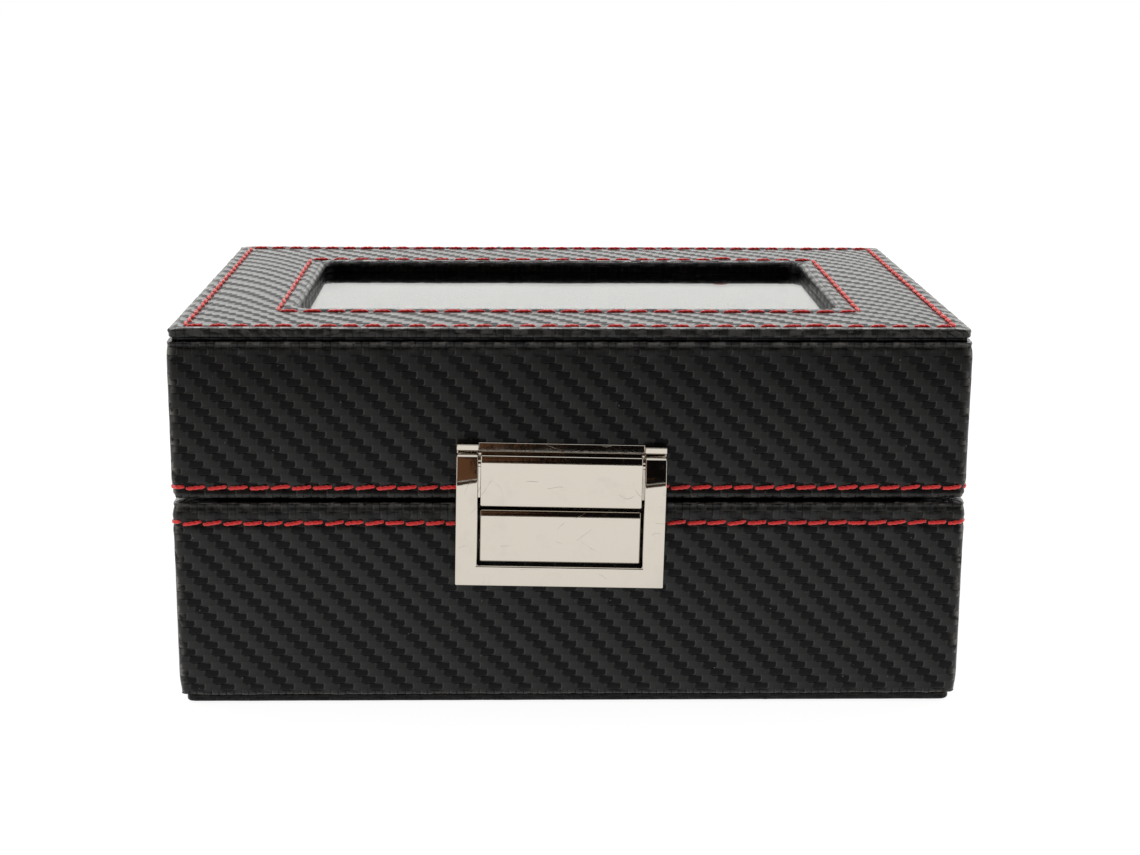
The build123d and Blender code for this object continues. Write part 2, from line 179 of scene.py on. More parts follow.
def finished_mesh(name, bm):
    """A new mesh from a bmesh, which is freed."""
    mesh = bpy.data.meshes.new(name)
    bm.to_mesh(mesh)
    bm.free()
    return mesh


def place(piece, body, slot, material, *nodes):
    """Finish a piece: material, replaced nodes and the body it rides on. The slot is not used."""
    piece.data.materials.clear()
    piece.data.materials.append(material)
    if nodes:
        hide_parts(*nodes)
    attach(piece, body)
    return piece


def refinish(nodes, material):
    """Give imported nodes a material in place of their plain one."""
    for node in nodes:
        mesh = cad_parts[node].data
        mesh.materials.clear()
        mesh.materials.append(material)


def smooth(mesh, angle=math.radians(180)):
    """Shade a mesh smooth, with creases sharper than an angle kept."""
    mesh.polygons.foreach_set("use_smooth", np.ones(len(mesh.polygons), bool))
    if angle < math.pi:
        mesh.set_sharp_from_angle(angle=angle)
    mesh.update()


class Outline:
    """A rounded rectangle sampled with fixed counts, so that its offsets match up."""

    def __init__(self, half_x, half_y, step, corner=7):
        self.half = (half_x, half_y)
        self.long = max(4, 2 * round(half_x / step))
        self.short = max(4, 2 * round(half_y / step))
        self.corner = corner

    def points(self, half_x, half_y, radius, centre=(0.0, 0.0)):
        """Points and outward normals of a loop, from the middle of the rear, anticlockwise."""
        spots, normals = [], []
        straight_x, straight_y = half_x - radius, half_y - radius
        corners = ((-straight_x, straight_y), (-straight_x, -straight_y),
                   (straight_x, -straight_y), (straight_x, straight_y))
        first = 90.0
        for index, (cx, cy) in enumerate(corners):
            for turn in range(self.corner + 1):
                angle = math.radians(first + 90.0 * (index + turn / self.corner))
                normal = (math.cos(angle), math.sin(angle))
                spots.append((cx + radius * normal[0], cy + radius * normal[1]))
                normals.append(normal)
            count = self.short if index % 2 == 0 else self.long
            nx, ny = corners[(index + 1) % 4]
            angle = math.radians(first + 90.0 * (index + 1))
            normal = (math.cos(angle), math.sin(angle))
            start = (cx + radius * normal[0], cy + radius * normal[1])
            end = (nx + radius * normal[0], ny + radius * normal[1])
            for turn in range(1, count):
                share_done = turn / count
                spots.append((start[0] + (end[0] - start[0]) * share_done,
                              start[1] + (end[1] - start[1]) * share_done))
                normals.append(normal)
        shift = self.long // 2
        spots = np.roll(np.array(spots), shift - 1, axis=0) + np.array(centre)
        normals = np.roll(np.array(normals), shift - 1, axis=0)
        return spots, normals

    def distance(self, half_x, half_y, radius):
        """Distance round the loop at each point, and once more at its start."""
        spots, _ = self.points(half_x, half_y, radius)
        steps = np.linalg.norm(np.roll(spots, -1, axis=0) - spots, axis=1)
        return np.concatenate(([0.0], np.cumsum(steps)))


def skin(name, rows, maps, masks=None):
    """Join rows of matching loops into one mesh with a UV map in metres.

    rows are N x 3 arrays; maps are (N + 1) x 2 arrays, so that the seam keeps its scale.
    masks are named N-long arrays, one list entry per row, stored on the vertices.
    """
    count = len(rows[0])
    points = np.concatenate(rows)
    faces, corners = [], []
    for low, high in zip(range(len(rows) - 1), range(1, len(rows))):
        for spot in range(count):
            after = (spot + 1) % count
            faces.append((low * count + spot, low * count + after,
                          high * count + after, high * count + spot))
            corners.append((maps[low][spot], maps[low][spot + 1],
                            maps[high][spot + 1], maps[high][spot]))
    coordinates = [uv for face in corners for uv in face]
    mesh = bpy.data.meshes.new(name)
    mesh.from_pydata(points.tolist(), [], faces)
    layer = mesh.uv_layers.new(name="Leather")
    layer.data.foreach_set("uv", np.array(coordinates, np.float32).ravel())
    for mask, values in (masks or {}).items():
        attribute = mesh.attributes.new(mask, "FLOAT", "POINT")
        attribute.data.foreach_set("value", np.concatenate(values).astype(np.float32))
    mesh.validate()
    smooth(mesh)
    return mesh


def with_height(spots, height):
    """Plane points raised to one height or to one height each."""
    return np.column_stack((spots, np.broadcast_to(height, len(spots))))


def ripple(points, size, seed):
    """Smooth noise in -1..1 at each point."""
    shift = Vector((seed * 3.7, seed * 1.3, seed * 7.1))
    return np.array([noise.noise(Vector(point) / size + shift) for point in points])


def circle(radius, height, around):
    """Points of a level circle about the origin."""
    turns = [2 * math.pi * spot / around for spot in range(around)]
    return [(radius * math.cos(turn), radius * math.sin(turn), height) for turn in turns]


def bell(distance, width):
    """A smooth bump of height 1 and the given half width."""
    return np.exp(-(distance / width) ** 2)


# ------------------------------------------------------------- shader groups
def node_group(name, inputs, outputs):
    """A new shader node group with named sockets, and its input and output nodes."""
    group = bpy.data.node_groups.new(name, "ShaderNodeTree")
    for socket, kind, default in inputs:
        made = group.interface.new_socket(name=socket, in_out="INPUT", socket_type=kind)
        if default is not None:
            made.default_value = default
    for socket, kind in outputs:
        group.interface.new_socket(name=socket, in_out="OUTPUT", socket_type=kind)
    return group, group.nodes.new("NodeGroupInput"), group.nodes.new("NodeGroupOutput")


class Wiring:
    """Short ways to add nodes to a tree: values may be numbers, colours or sockets."""

    def __init__(self, tree):
        self.tree = tree

    def node(self, kind, **settings):
        """Add a node and set its plain attributes."""
        made = self.tree.nodes.new(kind)
        for key, value in settings.items():
            setattr(made, key, value)
        return made

    def feed(self, socket, value):
        """Link a socket's value, or set it."""
        if isinstance(value, bpy.types.NodeSocket):
            self.tree.links.new(value, socket)
        elif value is not None:
            socket.default_value = value

    def math(self, operation, first, second=None, third=None):
        """A Math node's result."""
        made = self.node("ShaderNodeMath", operation=operation)
        for socket, value in zip(made.inputs, (first, second, third)):
            self.feed(socket, value)
        return made.outputs[0]

    def plus(self, first, second):
        """The sum of two values."""
        return self.math("ADD", first, second)

    def minus(self, first, second):
        """The difference of two values."""
        return self.math("SUBTRACT", first, second)

    def times(self, first, second):
        """The product of two values."""
        return self.math("MULTIPLY", first, second)

    def larger(self, first, second):
        """The larger of two values."""
        return self.math("MAXIMUM", first, second)

    def inverse(self, share_value):
        """One minus a share."""
        return self.math("SUBTRACT", 1.0, share_value)

    def per(self, size):
        """The texture scale of features of a size."""
        return self.math("DIVIDE", 1.0, size)

    def mix(self, share_value, first, second):
        """A mix of two colours."""
        made = self.node("ShaderNodeMix", data_type="RGBA", clamp_factor=True)
        self.feed(made.inputs[0], share_value)
        self.feed(made.inputs[6], first)
        self.feed(made.inputs[7], second)
        return made.outputs[2]

    def blend(self, share_value, first, second):
        """A mix of two numbers."""
        made = self.node("ShaderNodeMix", data_type="FLOAT", clamp_factor=True)
        self.feed(made.inputs[0], share_value)
        self.feed(made.inputs[2], first)
        self.feed(made.inputs[3], second)
        return made.outputs[0]

    def step(self, value, low, high):
        """A smooth step from 0 at low to 1 at high."""
        made = self.node("ShaderNodeMapRange", interpolation_type="SMOOTHSTEP")
        self.feed(made.inputs[0], value)
        self.feed(made.inputs[1], low)
        self.feed(made.inputs[2], high)
        return made.outputs[0]

    def noise(self, vector, scale, detail=2.0, roughness=0.5):
        """A noise texture's value."""
        made = self.node("ShaderNodeTexNoise")
        self.feed(made.inputs["Vector"], vector)
        self.feed(made.inputs["Scale"], scale)
        self.feed(made.inputs["Detail"], detail)
        self.feed(made.inputs["Roughness"], roughness)
        return made.outputs[0]

    def group(self, group, **values):
        """A node group placed with its own values; underscores stand for spaces."""
        made = self.node("ShaderNodeGroup")
        made.node_tree = group
        for socket, value in values.items():
            self.feed(made.inputs[socket.replace("_", " ")], value)
        return made

    def bump(self, height, distance):
        """A Bump node's normal."""
        made = self.node("ShaderNodeBump")
        self.feed(made.inputs["Strength"], 1.0)
        self.feed(made.inputs["Distance"], distance)
        self.feed(made.inputs["Height"], height)
        return made.outputs[0]


def twill_group():
    """Two-over-two twill emboss: long threads with short dark cross floats between them."""
    if "Twill Emboss" in bpy.data.node_groups:
        return bpy.data.node_groups["Twill Emboss"]
    group, given, result = node_group(
        "Twill Emboss",
        [("Vector", "NodeSocketVector", None), ("Pitch", "NodeSocketFloat", 0.00157),
         ("Wobble", "NodeSocketFloat", 0.1)],
        [(name, "NodeSocketFloat") for name in ("Height", "Float", "Rim", "Notch", "Slit", "Lane")])
    wire = Wiring(group)
    scaled = wire.node("ShaderNodeVectorMath", operation="SCALE")
    wire.feed(scaled.inputs[0], given.outputs["Vector"])
    wire.feed(scaled.inputs["Scale"], wire.per(given.outputs["Pitch"]))
    parts = wire.node("ShaderNodeSeparateXYZ")
    wire.feed(parts.inputs[0], scaled.outputs[0])
    sway = wire.noise(scaled.outputs[0], 0.35, 2.0)
    sway = wire.times(wire.minus(sway, 0.5), given.outputs["Wobble"])
    along = wire.plus(parts.outputs[0], sway)
    across = wire.plus(parts.outputs[1], sway)

    row = wire.math("FLOOR", across)
    in_row = wire.minus(across, row)
    stagger = wire.plus(along, row)
    cycle = wire.math("WRAP", stagger, 4.0, 0.0)
    thread = wire.math("FRACT", along)

    from_middle = wire.math("ABSOLUTE", wire.minus(in_row, 0.5))
    slant = wire.times(wire.minus(in_row, 0.5), 0.26)
    left = wire.minus(cycle, slant)
    float_left = wire.step(left, 0.0, 0.42)
    corner = wire.math("POWER", wire.times(from_middle, 2.0), 4.0)
    right = wire.plus(cycle, wire.times(corner, 0.24))
    float_right = wire.inverse(wire.step(right, 2.06, 2.20))
    float_sides = wire.inverse(wire.step(from_middle, 0.46, 0.50))
    floats = wire.times(wire.times(float_left, float_right), float_sides)

    bowed = wire.times(wire.times(from_middle, from_middle), 3.6)
    crown = wire.math("SQRT", wire.larger(wire.inverse(bowed), 0.0))
    tilt = wire.times(cycle, 0.13)
    float_height = wire.times(floats, wire.plus(wire.times(crown, 0.62), tilt))
    thread_middle = wire.math("ABSOLUTE", wire.minus(thread, 0.5))
    warp_crown = wire.inverse(wire.math("POWER", wire.times(thread_middle, 2.0), 6.0))
    warp_height = wire.times(wire.inverse(floats), wire.times(warp_crown, 0.34))

    # Rim marks the top and right edges of each cross float, where the leather material paints a highlight.
    rim_top = wire.times(wire.step(in_row, 0.80, 0.90), wire.inverse(wire.step(in_row, 0.94, 1.0)))
    rim_right = wire.times(wire.step(right, 2.00, 2.12), wire.inverse(wire.step(right, 2.16, 2.32)))
    in_float = wire.times(wire.step(cycle, 0.9, 1.6), wire.inverse(wire.step(cycle, 2.10, 2.24)))
    rim = wire.larger(wire.times(rim_top, in_float),
                    wire.times(rim_right, float_sides))

    # Notch marks a recess beside each float's end and Slit the gaps between the long threads; the leather
    # material paints both in shade.
    beside = wire.math("ABSOLUTE", wire.math("WRAP", wire.minus(stagger, 0.1), 2.0, -2.0))
    notch = wire.times(wire.inverse(wire.step(beside, 0.35, 0.85)),
                      wire.step(in_row, 0.80, 0.93))
    slit = wire.step(thread_middle, 0.36, 0.48)
    lane = wire.inverse(wire.step(cycle, 2.1, 4.0))
    height = wire.minus(wire.plus(float_height, warp_height), wire.times(notch, 0.35))
    wire.feed(result.inputs["Height"], height)
    wire.feed(result.inputs["Float"], floats)
    wire.feed(result.inputs["Rim"], rim)
    wire.feed(result.inputs["Notch"], notch)
    wire.feed(result.inputs["Slit"], slit)
    wire.feed(result.inputs["Lane"], lane)
    return group


def wear_and_highlight_group():
    """Scuffed pale patches and pale specks where a mask allows them; where the mask marks a painted
    highlight, the patches carry it too.
    """
    if "Edge Wear" in bpy.data.node_groups:
        return bpy.data.node_groups["Edge Wear"]
    group, given, result = node_group(
        "Edge Wear",
        [("Vector", "NodeSocketVector", None), ("Mask", "NodeSocketFloat", 0.0),
         ("Patch Size", "NodeSocketFloat", 0.004), ("Speck Size", "NodeSocketFloat", 0.0008)],
        [("WearAndHighlight", "NodeSocketFloat"), ("Specks", "NodeSocketFloat")])
    wire = Wiring(group)
    patches = wire.noise(given.outputs["Vector"], wire.per(given.outputs["Patch Size"]), 4.0, 0.65)
    rubbed_and_highlit = wire.times(wire.step(patches, 0.36, 0.56), given.outputs["Mask"])
    wire.feed(result.inputs["WearAndHighlight"], rubbed_and_highlit)
    cells = wire.node("ShaderNodeTexVoronoi", feature="F1")
    wire.feed(cells.inputs["Vector"], given.outputs["Vector"])
    wire.feed(cells.inputs["Scale"], wire.per(given.outputs["Speck Size"]))
    dots = wire.inverse(wire.step(cells.outputs["Distance"], 0.04, 0.12))
    rare = wire.math("GREATER_THAN", wire.noise(given.outputs["Vector"], 420.0, 1.0), 0.66)
    wire.feed(result.inputs["Specks"], wire.times(dots, rare))
    return group


def scuff_group():
    """Hairline scratches, smudges and fine grain for plated metal and glass."""
    if "Scuffs" in bpy.data.node_groups:
        return bpy.data.node_groups["Scuffs"]
    group, given, result = node_group(
        "Scuffs",
        [("Vector", "NodeSocketVector", None), ("Scratch Spacing", "NodeSocketFloat", 0.012),
         ("Smudge Size", "NodeSocketFloat", 0.006)],
        [("Scratches", "NodeSocketFloat"), ("Smudges", "NodeSocketFloat"), ("Grain", "NodeSocketFloat")])
    wire = Wiring(group)
    scratches = None
    for seed, (turn, stretch) in enumerate(((0.6, 0.10), (-0.9, 0.16), (1.4, 0.08))):
        turned = wire.node("ShaderNodeMapping")
        wire.feed(turned.inputs["Vector"], given.outputs["Vector"])
        turned.inputs["Location"].default_value = (0.013 * seed, 0.007 * seed, 0.0)
        turned.inputs["Rotation"].default_value = (turn, turn * 0.5, turn)
        turned.inputs["Scale"].default_value = (1.0, stretch, 1.0)
        bent = wire.noise(turned.outputs[0], wire.per(given.outputs["Scratch Spacing"]), 1.5, 0.4)
        line = wire.math("ABSOLUTE", wire.minus(bent, 0.5))
        line = wire.inverse(wire.step(line, 0.0, 0.0022))
        broken = wire.step(wire.noise(given.outputs["Vector"], 160.0 + 40.0 * seed, 1.0), 0.56, 0.66)
        line = wire.times(line, broken)
        scratches = line if scratches is None else wire.larger(scratches, line)
    wire.feed(result.inputs["Scratches"], scratches)
    smudge = wire.noise(given.outputs["Vector"], wire.per(given.outputs["Smudge Size"]), 5.0, 0.6)
    wire.feed(result.inputs["Smudges"], wire.step(smudge, 0.50, 0.72))
    wire.feed(result.inputs["Grain"], wire.noise(given.outputs["Vector"], 2600.0, 2.0, 0.6))
    return group


def pile_group():
    """Short velvet pile: fine fibres with brushed, lighter and darker patches."""
    if "Velvet Pile" in bpy.data.node_groups:
        return bpy.data.node_groups["Velvet Pile"]
    group, given, result = node_group(
        "Velvet Pile",
        [("Vector", "NodeSocketVector", None), ("Fibre Size", "NodeSocketFloat", 0.0004),
         ("Brush Size", "NodeSocketFloat", 0.02)],
        [("Fibre", "NodeSocketFloat"), ("Brushed", "NodeSocketFloat")])
    wire = Wiring(group)
    fibre = wire.noise(given.outputs["Vector"], wire.per(given.outputs["Fibre Size"]), 3.0, 0.7)
    brushed = wire.noise(given.outputs["Vector"], wire.per(given.outputs["Brush Size"]), 3.0, 0.55)
    wire.feed(result.inputs["Fibre"], fibre)
    wire.feed(result.inputs["Brushed"], wire.step(brushed, 0.35, 0.65))
    return group


# ------------------------------------------------------------------ materials
def new_material(name):
    """A material with a Principled shader, its wiring and its object-space vector."""
    material = bpy.data.materials.new(name)
    material.use_nodes = True
    tree = material.node_tree
    wire = Wiring(tree)
    shader = tree.nodes["Principled BSDF"]
    where = wire.node("ShaderNodeTexCoord")
    return material, wire, shader, where


def mask_value(wire, name):
    """A named vertex mask."""
    return wire.node("ShaderNodeAttribute", attribute_name=name).outputs["Fac"]


def twill_leather():
    """Black leather embossed with a two-over-two twill, scuffed pale on its corners. Its colour also holds
    painted light: sheen on the long threads, highlights on the floats' rims, along the upright corners and
    the top rims, and shade in the notches, slits and creases.
    """
    name = "embossed_leather"
    if name in bpy.data.materials:
        return bpy.data.materials[name]
    finish = bpy.context.scene.watchbox_leather
    material, wire, shader, where = new_material(name)
    sheet = wire.node("ShaderNodeUVMap", uv_map="Leather").outputs[0]
    twill = wire.group(twill_group(), Vector=sheet, Pitch=finish.thread_pitch, Wobble=0.22)
    wear_and_highlight = wire.group(wear_and_highlight_group(), Vector=where.outputs["Object"], Mask=mask_value(wire, "wear_and_highlight"),
                      Patch_Size=0.0022, Speck_Size=0.0016)
    fold = mask_value(wire, "fold")
    tone = wire.noise(sheet, 60.0, 3.0, 0.6)
    # Painted sheen: the long threads are coloured lighter than the cross threads, graded along each lane
    # and varied at random by the tone noise.
    bright = wire.times(wire.plus(tone, twill.outputs["Lane"]), 0.5)
    warp = wire.mix(bright, (*(c * 0.75 for c in finish.warp), 1), (*(c * 1.5 for c in finish.warp), 1))
    threads = wire.mix(twill.outputs["Float"], warp, (*finish.weft, 1))
    # Painted highlight: the floats' top and right rims are coloured a lighter grey.
    rim_highlit = wire.mix(wire.times(twill.outputs["Rim"], 0.6), threads, (0.060, 0.059, 0.056, 1))
    # Painted shade: the notches, the slits in the folds and the creases that a mask marks are coloured near
    # black.
    slits = wire.times(twill.outputs["Slit"], fold)
    cuts = wire.larger(twill.outputs["Notch"], wire.larger(slits, mask_value(wire, "crease_and_shade")))
    cut = wire.mix(wire.times(cuts, 0.85), rim_highlit, (0.0012, 0.0012, 0.0012, 1))
    # The pale patches are partly scuffing and partly painted highlight, since the mask marks both.
    rubbed_and_highlit = wire.times(wear_and_highlight.outputs["WearAndHighlight"], wire.blend(twill.outputs["Float"], 0.12, 1.0))
    worn_and_highlight = wire.mix(rubbed_and_highlit, cut, (*finish.worn_and_highlight, 1))
    dusty = wire.mix(wire.times(wear_and_highlight.outputs["Specks"], 0.42), worn_and_highlight, (0.3, 0.29, 0.27, 1))
    wire.feed(shader.inputs["Base Color"], dusty)
    rough = wire.blend(twill.outputs["Float"], 0.38, 0.60)
    rough = wire.blend(wire.times(fold, 0.6), rough, 0.26)
    rough = wire.plus(rough, wire.times(wire.minus(tone, 0.5), 0.10))
    wire.feed(shader.inputs["Roughness"], rough)
    shader.inputs["IOR"].default_value = 1.17
    shader.inputs["Coat IOR"].default_value = finish.coat_ior
    shader.inputs["Coat Roughness"].default_value = 0.24
    coat = wire.blend(twill.outputs["Float"], wire.blend(bright, 0.50, 1.0), finish.weft_coat)
    coat = wire.blend(wire.times(fold, 0.6), coat, 1.0)
    # The painted shade also takes most of the clear coat off these places.
    coat = wire.times(coat, wire.inverse(wire.times(cuts, 0.9)))
    wire.feed(shader.inputs["Coat Weight"], coat)
    pores = wire.noise(sheet, 5200.0, 3.0, 0.65)
    folds = wire.noise(sheet, 900.0, 3.0, 0.55)
    raised = wire.times(wire.minus(folds, wire.times(twill.outputs["Slit"], 0.35)), fold)
    height = wire.plus(twill.outputs["Height"], wire.plus(wire.times(pores, 0.10), wire.times(raised, 1.6)))
    wire.feed(shader.inputs["Normal"], wire.bump(height, finish.emboss))
    return material


def thread_material():
    """Red polyester thread with fine plies."""
    finish = bpy.context.scene.watchbox_stitching
    material, wire, shader, where = new_material("sewing_thread")
    plies = wire.noise(where.outputs["Object"], 4500.0, 2.0, 0.6)
    patches = wire.noise(where.outputs["Object"], 180.0, 2.0, 0.5)
    dark = (*(c * 0.70 for c in finish.thread), 1)
    red = wire.mix(wire.step(plies, 0.25, 0.6), dark, (*finish.thread, 1))
    red = wire.mix(wire.times(wire.step(patches, 0.5, 0.8), 0.35), red, (0.78, 0.045, 0.04, 1))
    wire.feed(shader.inputs["Base Color"], red)
    shader.inputs["Roughness"].default_value = 0.6
    shader.inputs["Sheen Weight"].default_value = 1.0
    shader.inputs["Sheen Roughness"].default_value = 0.5
    shader.inputs["Sheen Tint"].default_value = (1.0, 0.42, 0.38, 1)
    shader.inputs["Coat Weight"].default_value = 0.35
    shader.inputs["Coat Roughness"].default_value = 0.45
    shader.inputs["Coat IOR"].default_value = 1.4
    shader.inputs["Subsurface Weight"].default_value = 0.25
    shader.inputs["Subsurface Radius"].default_value = (0.0008, 0.0002, 0.0002)
    shader.inputs["Subsurface Scale"].default_value = 1.0
    wire.feed(shader.inputs["Normal"], wire.bump(plies, 0.05 * MM))
    return material


def nickel():
    """Bright nickel plate with hairline scratches and smudges."""
    name = "nickel_plate"
    if name in bpy.data.materials:
        return bpy.data.materials[name]
    finish = bpy.context.scene.watchbox_metal
    material, wire, shader, where = new_material(name)
    scuffs = wire.group(scuff_group(), Vector=where.outputs["Object"])
    clean = (*finish.nickel, 1)
    stained = (*(c * 0.90 for c in finish.nickel), 1)
    tone = wire.mix(wire.times(scuffs.outputs["Smudges"], 0.45), clean, stained)
    tone = wire.mix(wire.times(scuffs.outputs["Scratches"], 0.16), tone, (0.34, 0.30, 0.25, 1))
    wire.feed(shader.inputs["Base Color"], tone)
    shader.inputs["Metallic"].default_value = 1.0
    rough = wire.plus(finish.roughness, wire.times(scuffs.outputs["Smudges"], 0.06))
    rough = wire.plus(rough, wire.times(scuffs.outputs["Scratches"], 0.08))
    wire.feed(shader.inputs["Roughness"], rough)
    uneven = wire.noise(where.outputs["Object"], 130.0, 2.0, 0.5)
    pitted = wire.noise(where.outputs["Object"], 900.0, 3.0, 0.6)
    height = wire.plus(wire.times(scuffs.outputs["Grain"], 0.010), wire.times(uneven, 0.22))
    height = wire.plus(height, wire.times(pitted, 0.085))
    height = wire.minus(height, wire.times(scuffs.outputs["Scratches"], 0.06))
    wire.feed(shader.inputs["Normal"], wire.bump(height, 0.10 * MM))
    return material


def clear_glass():
    """Window glass with faint wiping marks."""
    material, wire, shader, where = new_material("clear_glass")
    scuffs = wire.group(scuff_group(), Vector=where.outputs["Object"],
                        Scratch_Spacing=0.03, Smudge_Size=0.02)
    shader.inputs["Base Color"].default_value = (0.93, 0.95, 0.94, 1)
    shader.inputs["IOR"].default_value = 1.52
    shader.inputs["Transmission Weight"].default_value = 1.0
    wire.feed(shader.inputs["Roughness"], wire.times(scuffs.outputs["Smudges"], 0.05))
    wire.feed(shader.inputs["Normal"], wire.bump(wire.noise(where.outputs["Object"], 40.0, 1.0), 0.02 * MM))
    return material


def velvet(name, tint, fibre=0.00045):
    """Short-pile velvet with brushed patches and a soft sheen."""
    if name in bpy.data.materials:
        return bpy.data.materials[name]
    material, wire, shader, where = new_material(name)
    pile = wire.group(pile_group(), Vector=where.outputs["Object"], Fibre_Size=fibre, Brush_Size=0.016)
    light = (*(min(1.0, c * 1.9) for c in tint), 1)
    tone = wire.mix(pile.outputs["Brushed"], (*(c * 0.75 for c in tint), 1), (*tint, 1))
    tone = wire.mix(wire.times(wire.step(pile.outputs["Fibre"], 0.5, 0.75), 0.6), tone, light)
    wire.feed(shader.inputs["Base Color"], tone)
    wire.feed(shader.inputs["Roughness"], wire.blend(pile.outputs["Brushed"], 0.95, 0.82))
    shader.inputs["Sheen Weight"].default_value = 0.55
    shader.inputs["Sheen Roughness"].default_value = 0.45
    shader.inputs["Sheen Tint"].default_value = (0.75, 0.75, 0.80, 1)
    wire.feed(shader.inputs["Normal"], wire.bump(pile.outputs["Fibre"], 0.25 * MM))
    return material


def fibreboard():
    """Raw fibreboard: pressed fibres with darker flecks."""
    finish = bpy.context.scene.watchbox_interior
    material, wire, shader, where = new_material("fibreboard")
    fibres = wire.noise(where.outputs["Object"], 1400.0, 4.0, 0.7)
    flecks = wire.step(wire.noise(where.outputs["Object"], 600.0, 2.0), 0.58, 0.7)
    tone = wire.mix(fibres, (*(c * 0.7 for c in finish.board), 1), (*finish.board, 1))
    tone = wire.mix(wire.times(flecks, 0.5), tone, (0.10, 0.06, 0.03, 1))
    wire.feed(shader.inputs["Base Color"], tone)
    shader.inputs["Roughness"].default_value = 0.85
    wire.feed(shader.inputs["Normal"], wire.bump(fibres, 0.15 * MM))
    return material


def backing_paper():
    """Brown backing paper on the underside."""
    material, wire, shader, where = new_material("backing_paper")
    fibres = wire.noise(where.outputs["Object"], 900.0, 4.0, 0.7)
    mottle = wire.noise(where.outputs["Object"], 60.0, 3.0, 0.5)
    tone = wire.mix(fibres, (0.035, 0.022, 0.016, 1), (0.085, 0.055, 0.040, 1))
    tone = wire.mix(wire.times(mottle, 0.4), tone, (0.02, 0.014, 0.012, 1))
    wire.feed(shader.inputs["Base Color"], tone)
    shader.inputs["Roughness"].default_value = 0.8
    wire.feed(shader.inputs["Normal"], wire.bump(fibres, 0.05 * MM))
    return material


# ------------------------------------------------------------------- leather
def box_sizes():
    """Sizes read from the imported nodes, in metres."""
    base_low, base_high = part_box("base_leather_wrap")
    lid_low, lid_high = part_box("lid_leather_wrap")
    _, top_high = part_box("lid_top_cover")
    bottom_low, bottom_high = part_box("base_bottom_panel")
    return {
        "half": (base_high.x, base_high.y),
        "base": (base_low.z, base_high.z),
        "lid": (lid_low.z, lid_high.z),
        "top_half": (top_high.x, top_high.y),
        "top": (lid_high.z, top_high.z),
        "bottom_half": (bottom_high.x, bottom_high.y),
        "bottom": (bottom_low.z, bottom_high.z),
    }


def graded(start, end, fine, coarse, reach):
    """Levels between two ends, fine near both and coarse in the middle."""
    lower = np.arange(start + fine, start + reach, fine)
    upper = np.arange(end - fine, end - reach, -fine)[::-1]
    count = max(2, round((upper[0] - lower[-1]) / coarse))
    middle = np.linspace(lower[-1], upper[0], count + 1)[1:-1]
    return np.concatenate((lower, middle, upper))


def wall_profile(low, high, low_round, high_round, reach, step):
    """Rows of a wall's covering as (inset, height, tilt in degrees, distance along it).

    It starts under the wall, turns round the lower edge, climbs and turns over the top.
    """
    rows = []
    inner = np.linspace(reach, low_round * 1.2, 7)
    rows += [(inset, low, -90.0, low + low_round - low_round * math.pi / 2 - (inset - low_round))
             for inset in inner]
    for angle in np.linspace(-90.0, 0.0, 7):
        turn = math.radians(angle)
        rows.append((low_round * (1 - math.cos(turn)), low + low_round * (1 + math.sin(turn)), angle,
                     low + low_round + low_round * turn))
    rows += [(0.0, level, 0.0, level)
             for level in graded(low + low_round, high - high_round, 0.2 * MM, step, 2.4 * MM)]
    for angle in np.linspace(0.0, 90.0, 7):
        turn = math.radians(angle)
        rows.append((high_round * (1 - math.cos(turn)), high - high_round * (1 - math.sin(turn)), angle,
                     high - high_round + high_round * turn))
    outer = np.linspace(high_round * 1.2, reach, 7)
    rows += [(inset, high, 90.0, high - high_round + high_round * math.pi / 2 + (inset - high_round))
             for inset in outer]
    return rows


def corner_gap(spots, half_x, half_y):
    """Distance in plan from each point to the nearest upright corner."""
    return np.hypot(np.abs(spots[:, 0]) - half_x, np.abs(spots[:, 1]) - half_y)


def stitch_dimples(distance_round, pitch, phase, width):
    """Depth share of the needle holes along a row: 1 at each hole."""
    along = (distance_round - phase) / pitch
    return bell((along - np.round(along)) * pitch, width)


def corner_pull(corner, height, levels):
    """How far the leather is drawn in towards the rims at the upright corners."""
    low, high = levels
    return corner * MM * (0.48 * bell(height - low, 2.4 * MM) + 0.3 * bell(height - high, 1.8 * MM))


